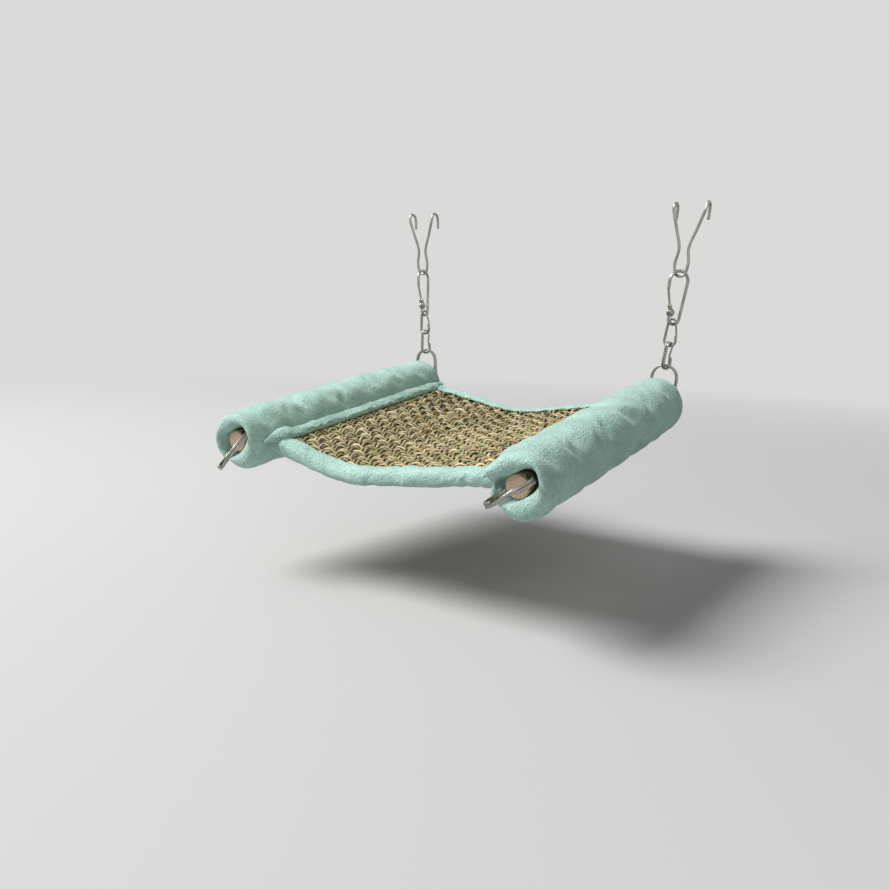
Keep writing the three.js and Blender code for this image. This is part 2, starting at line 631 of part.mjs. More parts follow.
for (const [name, side] of Object.entries(SIDES)) {
  const roll = new THREE.Group();
  roll.position.x = (side * ROLL_SPACING) / 2;
  hammock.add(roll);
  addPart(roll, `roll_cover_${name}`, rollCoverGeometry(), FLEECE).position.y = ROLL_MID_Y;
  addPart(roll, `roll_padding_${name}`, paddingGeometry(), WADDING).position.y = ROLL_MID_Y;
  addPart(roll, `dowel_${name}`, dowelGeometry(FRONT_HOLE_TILT[name]), WOOD);
  addPart(hammock, `roll_strip_${name}`, stripGeometry(side), FLEECE);

  const frontHole = new THREE.Group();
  frontHole.position.y = FRONT_HOLE_Y;
  frontHole.rotation.y = THREE.MathUtils.degToRad(-FRONT_HOLE_TILT[name]);
  roll.add(frontHole);
  const frontLoop = sweep(ringSection, ring, RING_STEPS).translate(0, -RING_LIFT, 0);
  const frontRing = addPart(frontHole, `split_ring_front_${name}`, frontLoop, STEEL);
  frontRing.rotation.x = THREE.MathUtils.degToRad(FRONT_RING_DROOP[name]);

  const chain = new THREE.Group();
  chain.position.set((side * ROLL_SPACING) / 2, CHAIN_Y, -DROP);
  chain.rotation.y = side * LEAN;
  birdHammock.add(chain);
  const backLoop = sweep(ringSection, oval, OVAL_STEPS);
  addPart(upright(chain, 0, 0), `split_ring_back_${name}`, backLoop, STEEL);
  const lowerLink = upright(chain, LOWER_LINK_TWIST, LOWER_LINK_FOOT);
  addPart(lowerLink, `lower_link_${name}`, sweep(linkSection, link, LINK_STEPS), STEEL);
  const upperLink = upright(chain, UPPER_LINK_TWIST, UPPER_LINK_FOOT);
  addPart(upperLink, `upper_link_${name}`, sweep(linkSection, link, LINK_STEPS), STEEL);
  const hook = upright(chain, HOOK_TWIST[name], HOOK_FOOT);
  addPart(hook, `snap_hook_${name}`, hookGeometry(), STEEL);
  addPart(hook, `snap_gate_${name}`, gateGeometry(), STEEL);
  addPart(hook, `gate_rivet_${name}`, rivetGeometry(), STEEL);

  const foot = hangerFoot(name);
  const hanger = addPart(birdHammock, `hanger_wire_${name}`, hangerGeometry(side, -foot.z), STEEL);
  hanger.position.copy(foot);
}

export default birdHammock;
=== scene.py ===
"""Looks of a bird hammock: a woven seagrass mat between two padded fleece rolls, hung by two chains.

Shapes are worked out in millimetres in the part's frame, which starts where the hooks rest on the roof,
+Z up and +Y to the back. They are turned to metres as each mesh is made.
"""
from math import acos, asin, atan2, cos, hypot, pi, radians, sin, sqrt, tan

import bpy
import numpy as np
from mathutils import Matrix, Vector, noise


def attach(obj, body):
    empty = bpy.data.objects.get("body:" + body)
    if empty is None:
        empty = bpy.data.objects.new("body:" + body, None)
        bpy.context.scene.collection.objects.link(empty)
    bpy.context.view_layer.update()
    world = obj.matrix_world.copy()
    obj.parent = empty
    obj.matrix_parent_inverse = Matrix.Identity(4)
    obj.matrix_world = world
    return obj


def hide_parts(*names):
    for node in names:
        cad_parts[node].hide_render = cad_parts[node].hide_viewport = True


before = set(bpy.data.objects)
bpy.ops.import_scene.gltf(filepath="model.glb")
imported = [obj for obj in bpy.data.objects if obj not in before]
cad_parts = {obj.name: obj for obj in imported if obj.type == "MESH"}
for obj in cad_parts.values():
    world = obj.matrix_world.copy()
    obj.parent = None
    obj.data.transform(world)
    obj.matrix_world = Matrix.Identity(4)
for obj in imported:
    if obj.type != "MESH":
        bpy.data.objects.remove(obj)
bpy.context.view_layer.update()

SCENE = bpy.context.scene
MM = 0.001
SIDES = {"left": -1, "right": 1}
QUARTER = pi / 2

# Camera
CAMERA_PLACE = (303.373, -602.550, -79.095)
CAMERA_RIGHT = (0.834926, 0.549549, 0.029958)
CAMERA_DOWN = (0.115830, -0.122245, -0.985718)
CAMERA_FORWARD = (-0.538037, 0.826470, -0.165722)
CAMERA_LENS = 32.901
CAMERA_SENSOR = 36

# How it hangs: slope of the rolls, lean of the chains, and where the dowels' back cross holes are
PITCH = radians(7)
LEAN = radians(4.5)
CHAIN_Y = -4.4
DROP = 143.92

# Rolls
ROLL_X = 106.5
ROLL_RADIUS = 20.0
ROLL_FRONT = -226.5
ROLL_BACK = -5.5
ROLL_LENGTH = ROLL_BACK - ROLL_FRONT
ROLL_MID = (ROLL_FRONT + ROLL_BACK) / 2
BUMP_COUNT = 6

# Dowels and the cross holes in them
DOWEL_RADIUS = 7.0
DOWEL_FRONT = -226.0
DOWEL_BACK = 5.0
HOLE_RADIUS = 3.4
FRONT_HOLE = -221.0
HOLE_TILT = {"left": radians(42), "right": radians(30)}
RING_DROOP = {"left": radians(26), "right": radians(2)}

# Mat and its bindings
MAT_HALF_X = 86.1
MAT_FRONT = -210.8
MAT_BACK = -15.2
BINDING_FRONT = -213.5
BINDING_BACK = -12.5
CREASE_FRONT_X = -28.0
CREASE_BACK_X = -4.0
CREASE_SOFT = 0.16
MAT_SAG = 14.0
MAT_EDGE_DROP = 2.0

# Chains: heights up from the back cross holes, and turns about the chain
RING_LIFT = 13.4
LOWER_LINK_FOOT = 24.9663
UPPER_LINK_FOOT = 41.9802
HOOK_FOOT = 58.0943
LOWER_LINK_TWIST = radians(75)
UPPER_LINK_TWIST = radians(-5)
HOOK_TWIST = {"left": radians(90), "right": radians(50)}


def add_object(name, data):
    made = bpy.data.objects.new(name, data)
    SCENE.collection.objects.link(made)
    return made


def add_camera():
    data = bpy.data.cameras.new("camera")
    data.lens = CAMERA_LENS
    data.sensor_width = CAMERA_SENSOR
    camera = add_object("camera", data)
    axes = (CAMERA_RIGHT, -Vector(CAMERA_DOWN), -Vector(CAMERA_FORWARD))
    camera.matrix_world = Matrix(axes).transposed().to_4x4()
    camera.location = Vector(CAMERA_PLACE) * MM
    SCENE.camera = camera


add_camera()
SCENE.view_settings.view_transform = "Standard"


# ---- Frames of the sub-assemblies ----

def turn(points, axis, angle):
    """Points turned about a coordinate axis (0, 1 or 2)."""
    out = np.array(points, float)
    a, b = (axis + 1) % 3, (axis + 2) % 3
    c, s = cos(angle), sin(angle)
    out[..., a] = c * points[..., a] - s * points[..., b]
    out[..., b] = s * points[..., a] + c * points[..., b]
    return out


def from_hammock(points):
    """Hammock frame, X across and Y along the rolls, to the part's frame."""
    return turn(points, 0, PITCH) + (0, CHAIN_Y, -DROP)


def from_chain(points, side, twist, height):
    """A flat piece drawn in X and Y, stood upright in a chain, to the part's frame."""
    upright = turn(points, 0, QUARTER)
    upright = turn(upright, 2, twist) + (0, 0, height)
    return turn(upright, 1, side * LEAN) + (side * ROLL_X, CHAIN_Y, -DROP)


def from_front_hole(points, name):
    """A front ring, drawn about its cross hole, to the part's frame."""
    hung = turn(points, 0, RING_DROOP[name])
    hung = turn(hung, 1, -HOLE_TILT[name]) + (SIDES[name] * ROLL_X, FRONT_HOLE, 0)
    return from_hammock(hung)


# ---- Meshes ----

SEED_SHIFT = 17.31
TINY = 1e-6


def smoothstep(low, high, x):
    t = np.clip((x - low) / (high - low), 0, 1)
    return t * t * (3 - 2 * t)


def soft_noise(points, size, seed):
    """Smooth noise of about -1 to 1 at points, with lumps of the given size."""
    flat = points.reshape(-1, 3) / size + seed * SEED_SHIFT
    return np.array([noise.fractal(Vector(p), 1.0, 2.0, 2) for p in flat]).reshape(points.shape[:-1])


def round_angles(count):
    return 2 * np.pi * np.arange(count) / count


def hoop(radius, y, angle):
    """Points at angles round the Y axis."""
    return np.stack([radius * np.cos(angle), np.full(len(angle), y), radius * np.sin(angle)], -1)


def skin(rows, columns, ends):
    """Faces of a grid whose columns close round. Its ends are joined, flat or fans to two more points."""
    grid = np.arange(rows * columns).reshape(rows, columns)
    if ends == "joined":
        grid = np.concatenate([grid, grid[:1]])
    corners = [grid[:-1], np.roll(grid[:-1], -1, 1), np.roll(grid[1:], -1, 1), grid[1:]]
    faces = np.stack(corners, -1).reshape(-1, 4).tolist()
    first, last = grid[0].tolist(), grid[-1].tolist()
    if ends == "flat":
        faces += [first[::-1], last]
    if ends == "fans":
        for j in range(columns):
            k, tip = (j + 1) % columns, rows * columns
            faces += [[first[k], first[j], tip], [last[j], last[k], tip + 1]]
    return faces


def travelled(path):
    """Length of a path up to each of its points."""
    return np.concatenate([[0], np.cumsum(np.linalg.norm(np.diff(path, axis=0), axis=1))])


def even(path, step):
    """A path with its points spread evenly."""
    path = np.asarray(path, float)
    length = travelled(path)
    at = np.linspace(0, length[-1], max(int(length[-1] / step), 2))
    return np.stack([np.interp(at, length, path[:, k]) for k in range(path.shape[1])], 1)


def frames_along(path, up):
    """Tangent, normal and binormal along a path, carried on without twist."""
    tangent = np.gradient(path, axis=0)
    tangent /= np.linalg.norm(tangent, axis=1)[:, None]
    normal = np.empty_like(path)
    last = np.asarray(up, float)
    for i, t in enumerate(tangent):
        last = last - t * (last @ t)
        last = last / np.linalg.norm(last)
        normal[i] = last
    return tangent, normal, np.cross(tangent, normal)


def tube(path, section, up, cap=0.0, cap_steps=4):
    """Points, faces and grain of a section along a path, with ends rounded by cap."""
    tangent, normal, binormal = frames_along(path, up)
    bend = QUARTER * np.arange(1, cap_steps) / cap_steps
    count, sides = len(path) + 2 * len(bend), len(section)
    at = np.clip(np.arange(count) - len(bend), 0, len(path) - 1)
    scale, shift = np.ones(count), np.zeros(count)
    for part, turned in ((slice(len(bend)), -bend[::-1]), (slice(count - len(bend), count), bend)):
        scale[part], shift[part] = np.cos(turned), cap * np.sin(turned)
    lengths = travelled(path)[at] + shift
    offset = section[:, :1] * normal[at][:, None] + section[:, 1:] * binormal[at][:, None]
    rows = (path[at] + shift[:, None] * tangent[at])[:, None] + scale[:, None, None] * offset
    ends = [path[0] - cap * tangent[0], path[-1] + cap * tangent[-1]]
    angle = round_angles(sides)
    around = np.tile(np.stack([np.cos(angle), np.sin(angle)], 1), (count, 1))
    grain = np.concatenate([np.repeat(lengths, sides)[:, None], around], 1)
    grain = np.concatenate([grain, [[lengths[0], 0, 0], [lengths[-1], 0, 0]]])
    return np.concatenate([*rows, ends]), skin(count, sides, "fans"), grain


def lathe(profile, sides):
    """Points and faces of a solid turned about Y, from (radius, y) that starts and ends on the axis."""
    rows = [hoop(radius, y, round_angles(sides)) for radius, y in profile[1:-1]]
    ends = [(0, profile[0][1], 0), (0, profile[-1][1], 0)]
    return np.concatenate([*rows, ends]), skin(len(rows), sides, "fans")


def ellipse(width, height, sides):
    angle = round_angles(sides)
    return np.stack([height / 2 * np.sin(angle), width / 2 * np.cos(angle)], 1)


def rounded(width, height, power, sides):
    """Section of flat wire: width along the binormal, height along the normal."""
    angle = 2 * np.pi * (np.arange(sides) + 0.5) / sides
    c, s = np.cos(angle), np.sin(angle)
    x = np.sign(s) * np.abs(s) ** (2 / power) * height / 2
    y = np.sign(c) * np.abs(c) ** (2 / power) * width / 2
    return np.stack([x, y], 1)


def joined(parts):
    """Several (points, faces, grain) as one."""
    points, faces, grain = zip(*parts)
    starts = np.cumsum([0, *map(len, points)]).tolist()
    faces = [[v + start for v in face] for start, own in zip(starts, faces) for face in own]
    return np.concatenate(points), faces, np.concatenate(grain)


def shifted(mesh, by):
    points, faces, grain = mesh
    return points + by, faces, grain


def outward(points, faces):
    """Faces turned so that the whole encloses a positive volume."""
    volume = 0.0
    for size in {len(face) for face in faces}:
        corners = points[np.array([face for face in faces if len(face) == size])]
        for k in range(1, size - 1):
            volume += np.sum(corners[:, 0] * np.cross(corners[:, k], corners[:, k + 1]))
    return faces if volume > 0 else [face[::-1] for face in faces]


def add_attribute(mesh, name, values):
    kind, key = ("FLOAT_COLOR", "color") if values.shape[1] == 4 else ("FLOAT_VECTOR", "vector")
    mesh.attributes.new(name, kind, "POINT").data.foreach_set(key, values.astype(np.float32).ravel())


def mesh_object(name, points, faces, material, grain=None, colours=None):
    """A smooth-shaded object from points in the part's frame."""
    mesh = bpy.data.meshes.new(name)
    mesh.from_pydata((points * MM).tolist(), [], outward(points, faces))
    mesh.shade_smooth()
    if grain is not None:
        add_attribute(mesh, "grain", grain)
    # Colours of the grass blades, with painted light and shade in them
    if colours is not None:
        add_attribute(mesh, "blade_and_painted_light", colours)
    mesh.materials.append(material)
    return add_object(name, mesh)


def apply_modifiers(piece):
    """The mesh that the piece's modifiers give, kept as its own."""
    view = bpy.context.evaluated_depsgraph_get()
    made = bpy.data.meshes.new_from_object(piece.evaluated_get(view))
    old = piece.data
    piece.modifiers.clear()
    piece.data = made
    bpy.data.meshes.remove(old)


def seat(piece, body, slot, *nodes):
    """Puts a piece on its body in place of the nodes that it stands for."""
    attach(piece, body)
    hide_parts(*nodes)


# ---- Materials ----

class Nodes:
    """Short ways to add nodes to a tree. Each value is an output to link or a constant to set."""

    def __init__(self, tree):
        self.tree = tree

    def feed(self, socket, value):
        if isinstance(value, bpy.types.NodeSocket):
            self.tree.links.new(value, socket)
        else:
            socket.default_value = (*value, 1) if socket.type == "RGBA" else value

    def node(self, kind, sockets, **settings):
        """A node with its settings, and its sockets fed by name or number."""
        node = self.tree.nodes.new(kind)
        for key, value in settings.items():
            setattr(node, key, value)
        for key, value in sockets.items():
            self.feed(node.inputs[key], value)
        return node

    def math(self, operation, a, b):
        return self.node("ShaderNodeMath", {0: a, 1: b}, operation=operation).outputs[0]

    def show(self, output, share, first, second):
        """Sends a mix of two shaders to an output node."""
        mixed = self.node("ShaderNodeMixShader", {0: share, 1: first, 2: second})
        self.feed(self.tree.nodes[output].inputs["Surface"], mixed.outputs[0])


class Paint(Nodes):
    """A material and its shading nodes."""

    def __init__(self, name, **sockets):
        self.material = bpy.data.materials.new(name)
        self.material.use_nodes = True
        super().__init__(self.material.node_tree)
        self.shader = self.tree.nodes["Principled BSDF"]
        self.finish(**sockets)

    def finish(self, **sockets):
        """Feeds the shader's sockets and gives the material."""
        for key, value in sockets.items():
            self.feed(self.shader.inputs[key.replace("_", " ")], value)
        return self.material

    def coordinates(self):
        return self.node("ShaderNodeTexCoord", {}).outputs["Object"]

    def attribute(self, name, output="Vector"):
        return self.node("ShaderNodeAttribute", {}, attribute_name=name).outputs[output]

    def scaled(self, vector, scale):
        return self.node("ShaderNodeMapping", {"Vector": vector, "Scale": scale}).outputs["Vector"]

    def noise(self, vector, scale, detail, roughness, distortion=0.0):
        sockets = {"Vector": vector, "Scale": scale, "Detail": detail, "Roughness": roughness,
                   "Distortion": distortion}
        return self.node("ShaderNodeTexNoise", sockets).outputs["Fac"]

    def ramp(self, factor, *stops):
        """Colours between stops of (place, colour)."""
        node = self.node("ShaderNodeValToRGB", {"Fac": factor})
        elements = node.color_ramp.elements
        while len(elements) < len(stops):
            elements.new(1.0)
        for element, (place, colour) in zip(elements, stops):
            element.position = place
            element.color = (*colour, 1)
        return node.outputs["Color"]

    def grade(self, factor, low, high, out_low, out_high):
        sockets = {"Value": factor, "From Min": low, "From Max": high, "To Min": out_low, "To Max": out_high}
        return self.node("ShaderNodeMapRange", sockets).outputs["Result"]

    def mix(self, a, b, factor=1.0, kind="MULTIPLY"):
        sockets = {0: factor, 6: a, 7: b}
        return self.node("ShaderNodeMix", sockets, data_type="RGBA", blend_type=kind).outputs[2]

    def blend(self, a, b, share):
        """A share of the first value and the rest of the second."""
        return self.math("ADD", self.math("MULTIPLY", a, share), self.math("MULTIPLY", b, 1 - share))

    def bump(self, height, distance, strength, **under):
        sockets = {"Height": height, "Distance": distance, "Strength": strength, **under}
        return self.node("ShaderNodeBump", sockets).outputs["Normal"]


def fleece_material():
    """Mint fleece with a fine nap, brushed in patches."""
    paint = Paint("fleece", Roughness=0.95, Sheen_Weight=0.6, Sheen_Roughness=0.5,
                  Sheen_Tint=(0.80, 1.0, 0.92), Specular_IOR_Level=0.1)
    place = paint.coordinates()
    nap = paint.noise(place, scale=1100.0, detail=2.0, roughness=0.6)
    tufts = paint.noise(place, scale=680.0, detail=2.0, roughness=0.55)
    brushed = paint.noise(place, scale=60.0, detail=3.0, roughness=0.55)
    mint = paint.ramp(paint.blend(nap, tufts, share=0.35), (0.36, (0.370, 0.600, 0.510)),
                      (0.50, (0.470, 0.710, 0.620)), (0.64, (0.580, 0.805, 0.720)))
    shading = paint.ramp(brushed, (0.35, (0.86, 0.87, 0.87)), (0.65, (1.04, 1.03, 1.03)))
    soft = paint.bump(tufts, distance=0.0011, strength=0.8)
    return paint.finish(Base_Color=paint.mix(mint, shading),
                        Normal=paint.bump(nap, distance=0.0007, strength=0.8, Normal=soft))


def wadding_material():
    paint = Paint("wadding", Roughness=1.0, Specular_IOR_Level=0.1)
    fibres = paint.noise(paint.coordinates(), scale=700.0, detail=4.0, roughness=0.65, distortion=1.5)
    colour = paint.ramp(fibres, (0.3, (0.70, 0.69, 0.64)), (0.7, (0.88, 0.87, 0.83)))
    return paint.finish(Base_Color=colour, Normal=paint.bump(fibres, distance=0.001, strength=1.0))


def seagrass_material():
    """Dry grass whose streaks run along each ply, over the colour of its blades, which carries painted light
    and shade.
    """
    paint = Paint("seagrass", Roughness=0.6, Specular_IOR_Level=0.35)
    grain = paint.attribute("grain")
    streaks = paint.noise(paint.scaled(grain, (0.10, 1.3, 1.3)), scale=1.6, detail=3.0, roughness=0.6)
    patches = paint.noise(paint.scaled(grain, (0.22, 0.3, 0.3)), scale=1.0, detail=2.0, roughness=0.5)
    lined = paint.ramp(streaks, (0.34, (0.28, 0.25, 0.20)), (0.50, (0.92, 0.92, 0.91)),
                       (0.68, (1.36, 1.33, 1.24)))
    # The blade colours carry the painted shade of the weave's hollows and the painted highlight of its crests
    colour = paint.mix(paint.attribute("blade_and_painted_light", "Color"), lined)
    dry = paint.ramp(patches, (0.35, (0.86, 0.84, 0.78)), (0.65, (1.08, 1.07, 1.03)))
    return paint.finish(Base_Color=paint.mix(colour, dry),
                        Roughness=paint.grade(streaks, 0.3, 0.7, 0.75, 0.48),
                        Normal=paint.bump(streaks, distance=0.0004, strength=0.9))


def wood_material():
    """Pale wood with fibres along the rod and year rings on its ends."""
    paint = Paint("dowel_wood", Roughness=0.7, Specular_IOR_Level=0.3)
    grain = paint.attribute("grain")
    fibres = paint.noise(paint.scaled(grain, (1.0, 0.05, 1.0)), scale=1.6, detail=4.0, roughness=0.6)
    sockets = {"Vector": grain, "Scale": 0.16, "Distortion": 3.0, "Detail": 2.0, "Detail Scale": 0.4}
    wave = paint.node("ShaderNodeTexWave", sockets, wave_type="RINGS", rings_direction="Y")
    colour = paint.ramp(fibres, (0.3, (0.56, 0.42, 0.27)), (0.55, (0.70, 0.55, 0.39)),
                        (0.75, (0.80, 0.66, 0.50)))
    darker = paint.ramp(wave.outputs["Fac"], (0.2, (0.84, 0.79, 0.74)), (0.8, (1.0, 1.0, 1.0)))
    return paint.finish(Base_Color=paint.mix(colour, darker),
                        Normal=paint.bump(fibres, distance=0.0003, strength=0.7))


def steel_material():
    """Drawn wire, a little dull and smudged."""
    paint = Paint("steel", Metallic=1.0, Roughness=0.25)
    grain = paint.scaled(paint.attribute("grain"), (0.15, 5.0, 5.0))
    drawn = paint.noise(grain, scale=2.0, detail=3.0, roughness=0.6)
    smudge = paint.noise(paint.coordinates(), scale=160.0, detail=3.0, roughness=0.6)
    colour = paint.ramp(smudge, (0.30, (0.29, 0.28, 0.25)), (0.55, (0.40, 0.385, 0.35)),
                        (0.75, (0.50, 0.485, 0.44)))
    wear = paint.blend(drawn, smudge, share=0.5)
    return paint.finish(Base_Color=colour, Roughness=paint.grade(wear, 0.3, 0.7, 0.16, 0.34),
                        Normal=paint.bump(drawn, distance=0.00004, strength=0.6))


FLEECE = fleece_material()
WADDING = wadding_material()
SEAGRASS = seagrass_material()
WOOD = wood_material()
STEEL = steel_material()


# ---- Padded fleece ----

CLOTH_STEPS = 20
CLOTH = {"vertex_group_mass": "held", "quality": 5, "mass": 0.15, "tension_stiffness": 12,
         "compression_stiffness": 12, "shear_stiffness": 4, "bending_stiffness": 0.3, "use_pressure": True,
         "uniform_pressure_force": 4.0}


def puffed(points, faces, held, reach, growth):
    """Points of a skin that a cloth simulation fills with air, none moved further than about reach."""
    piece = mesh_object("puffed", points, faces, FLEECE)
    group = piece.vertex_groups.new(name="held")
    for i, weight in enumerate(held):
        group.add([i], float(weight), "REPLACE")
    cloth = piece.modifiers.new("cloth", "CLOTH").settings
    for key, value in CLOTH.items():
        setattr(cloth, key, value)
    cloth.shrink_min = -growth
    cloth.effector_weights.gravity = 0
    for step in range(1, CLOTH_STEPS + 1):
        SCENE.frame_set(step)
    view = bpy.context.evaluated_depsgraph_get()
    found = np.empty(len(points) * 3, np.float32)
    piece.evaluated_get(view).data.vertices.foreach_get("co", found)
    bpy.data.objects.remove(piece)
    SCENE.frame_set(1)
    moved = found.reshape(-1, 3) / MM - points
    far = np.linalg.norm(moved, axis=1, keepdims=True)
    return points + moved * reach * np.tanh(far / reach) / np.maximum(far, TINY)


# ---- Rolls: angles round a roll are in degrees, widths round it in radians ----

COVER_SIDES = 72
COVER_RINGS = 110
COVER_SEED = {"left": 1, "right": 8}
PILE_RADIUS = ROLL_RADIUS + 1.0
SLEEVE_INNER = 16.6
# Ends: rounding, how far they stand out, the lip's share of the end face and the funnel in the mouth
END_ROUNDING = 10.0
END_BULGE = 2.6
LIP_SHARE = 0.45
LIP_DEPTH = 4.0
BACK_MOUTH = 9.4
FUNNEL_RADIUS = 8.0
FUNNEL_DEPTH = 13.0
SLEEVE_STEP_DEPTH = 16.0
# Front mouths: ovals drawn wide along the cross hole, which gape by (size, angle, width)
MOUTH = {"left": {"long": 14.0, "short": 7.2}, "right": {"long": 14.2, "short": 7.0}}
MOUTH_POWER = 2.6
FOLD = {
    "left": {"gapes": ((4.0, 168, 0.45),), "groove": 0.0, "groove_at": 180, "nub": 0.0, "nub_at": 180,
             "squash": 3.2, "squash_at": 240},
    "right": {"gapes": ((3.0, 178, 0.45), (2.4, 54, 0.35)), "groove": 8.0, "groove_at": 184,
              "nub": 5.0, "nub_at": 166, "squash": 3.8, "squash_at": 214},
}
GROOVE_WIDTH = 3.2
GROOVE_CUT = 0.5
# Where the folds fade: behind the front end, outside the mouth and inside it
SQUASH_FADE = (38, 6)
NUB_FADE = (20, 5)
MOUTH_FADE = (0.5, 6)
DEPTH_FADE = (4, 13)
MOUTH_WALL = 2
# Dents between the bumps, the angles where they are deeper, and the depths at which the cloth is held
DENT_DEPTH = 0.9
DIMPLE_DEPTH = 2.0
DIMPLES = (95, 45, -28, 150, 232)
LUMP_DEPTH = 0.55
CREASED = (0.9, 2.4)
# Angle round each roll that faces the mat
MAT_SIDE = {"left": 0, "right": 176}
# Pinched dents of each roll: angle round it and place along it
PINCHES = {
    "left": ((70, -173), (78, -128), (66, -92), (70, -58), (32, -133), (42, -190)),
    "right": ((53, -192), (36, -186), (25, -157), (40, -138), (5, -80), (8, -41), (-9, -198), (-8, -162)),
}
PINCH_DEPTH = 1.9
PINCH_WIDTH = 3.4
PINCH_LENGTH = 8.0
PINCH_BOW = 0.045
# Passes that soften the cloth's movement, and each pair of neighbours' share
SOFTENING = 7
SOFT_SHARE = 0.3


def apart(angle, degrees):
    """Angle from one given in degrees, between -pi and pi."""
    return (angle - radians(degrees) + np.pi) % (2 * np.pi) - np.pi


def swell(angle, degrees, width):
    return np.exp(-(apart(angle, degrees) / width) ** 2)


def polar(grid):
    """Radius and angle of points round the Y axis."""
    return np.hypot(grid[..., 0], grid[..., 2]), np.arctan2(grid[..., 2], grid[..., 0])


def roll_dents(angle, y, name):
    """How deep the cover is drawn in at places round and along a roll, and where it is held."""
    seed = COVER_SEED[name]
    where = np.stack([ROLL_RADIUS * np.cos(angle), y - ROLL_MID, ROLL_RADIUS * np.sin(angle)], -1)
    drift = 0.8 * soft_noise(where, size=40.0, seed=seed)
    phase = 2 * np.pi * (y - ROLL_MID) * BUMP_COUNT / ROLL_LENGTH + angle + drift
    groove = ((1 - np.cos(phase)) / 2) ** 2
    uneven = 0.8 + 0.7 * soft_noise(where, size=30.0, seed=seed + 3)
    dimple = np.clip(uneven * sum(swell(angle, degrees, width=0.40) for degrees in DIMPLES), 0, 1)
    depth = (DENT_DEPTH + DIMPLE_DEPTH * dimple) * groove
    for degrees, place in PINCHES[name]:
        across = ROLL_RADIUS * apart(angle, degrees)
        along = y - place - PINCH_BOW * across ** 2
        depth = depth + PINCH_DEPTH * np.exp(-(along / PINCH_WIDTH) ** 2 - (across / PINCH_LENGTH) ** 2)
    lumps = LUMP_DEPTH * soft_noise(where, size=15.0, seed=seed + 5)
    return depth + lumps, smoothstep(*CREASED, depth)


def front_mouth(angle, name):
    """Radius of a sleeve's front mouth at an angle round it."""
    shape, turned = MOUTH[name], angle - HOLE_TILT[name]
    c = np.abs(np.cos(turned) / shape["long"]) ** MOUTH_POWER
    s = np.abs(np.sin(turned) / shape["short"]) ** MOUTH_POWER
    gapes = sum(size * swell(angle, degrees, width) for size, degrees, width in FOLD[name]["gapes"])
    return (c + s) ** (-1 / MOUTH_POWER) + gapes


def rim_rows(mouth, end_y, inward):
    """Radius and place of rows from the outside over a rounded end to the funnel inside it."""
    lip = mouth + LIP_SHARE * (PILE_RADIUS - mouth)
    rows = []
    for bend in np.linspace(0, QUARTER, 11)[1:]:
        depth = END_ROUNDING * (1 - sin(bend) ** 0.9)
        rows.append((lip + (PILE_RADIUS - lip) * cos(bend) ** 0.85, end_y + inward * depth))
    for bend in np.linspace(0, QUARTER, 6)[1:]:
        depth = LIP_DEPTH * (1 - cos(bend))
        rows.append((lip - (lip - mouth) * sin(bend), end_y + inward * depth))
    for share in (0.35, 0.7, 1.0):
        depth = LIP_DEPTH + (FUNNEL_DEPTH - LIP_DEPTH) * share
        rows.append((mouth + (FUNNEL_RADIUS - mouth) * share, end_y + inward * depth))
    return rows + [(SLEEVE_INNER, end_y + inward * SLEEVE_STEP_DEPTH)]


def folded(grid, name, mouth, front_y):
    """A front end drawn in below, with a nub and a groove where the cloth folds on the mat's side."""
    fold = FOLD[name]
    radius, turned = polar(grid)
    behind = grid[..., 1] - front_y
    close = smoothstep(*NUB_FADE, behind)
    groove = fold["groove"] * np.exp(-(apart(turned, fold["groove_at"]) * radius / GROOVE_WIDTH) ** 2)
    squash = fold["squash"] * swell(turned, fold["squash_at"], width=0.6)
    nub = fold["nub"] * swell(turned, fold["nub_at"], width=0.3)
    growth = close * (nub - GROOVE_CUT * groove) - smoothstep(*SQUASH_FADE, behind) * squash
    grown = radius + smoothstep(mouth + MOUTH_FADE[0], mouth + MOUTH_FADE[1], radius) * growth
    deep = 1 - smoothstep(*DEPTH_FADE, behind) * (radius < mouth + MOUTH_WALL)
    out = grid * (grown / radius)[..., None]
    out[..., 1] = grid[..., 1] + groove * close * deep
    return out


def cover_mesh(name):
    """Sleeve as a closed skin: outside, front rim, inside and back rim."""
    angle = round_angles(COVER_SIDES)
    mouth = front_mouth(angle, name)
    front_y = ROLL_FRONT - END_BULGE
    front, back = rim_rows(mouth, front_y, 1), rim_rows(BACK_MOUTH, ROLL_BACK, -1)
    outer = np.linspace(ROLL_BACK - END_ROUNDING, front_y + END_ROUNDING, COVER_RINGS)
    inner = np.linspace(ROLL_FRONT + 40, ROLL_BACK - 40, 8)
    profile = [(PILE_RADIUS, y) for y in outer] + front + [(SLEEVE_INNER, y) for y in inner] + back[::-1]
    grid = np.array([hoop(radius, y, angle) for radius, y in profile])
    radius, turned = polar(grid)
    dent, creased = roll_dents(turned, grid[..., 1], name)
    share = smoothstep(FUNNEL_RADIUS + 4, ROLL_RADIUS, radius)
    share[COVER_RINGS + len(front):-len(back)] = 0
    grid[..., ::2] *= (1 - dent * share / radius)[..., None]
    outside = slice(0, COVER_RINGS + len(front) - 1)
    grid[outside] = folded(grid[outside], name, mouth, front_y)
    grid[..., 0] += SIDES[name] * ROLL_X
    held = np.maximum(creased, 0.5 * swell(turned, MAT_SIDE[name], width=0.5))
    held[COVER_RINGS:] = 1
    points, faces = from_hammock(grid.reshape(-1, 3)), skin(len(grid), COVER_SIDES, "joined")
    moved = (puffed(points, faces, held.ravel(), reach=1.4, growth=0.015) - points).reshape(grid.shape)
    for _ in range(SOFTENING):
        around = (np.roll(moved, 1, 1) + np.roll(moved, -1, 1)) / 2
        along = (np.roll(moved, 1, 0) + np.roll(moved, -1, 0)) / 2
        moved = moved * (1 - 2 * SOFT_SHARE) + SOFT_SHARE * (around + along)
    return points + moved.reshape(-1, 3), faces


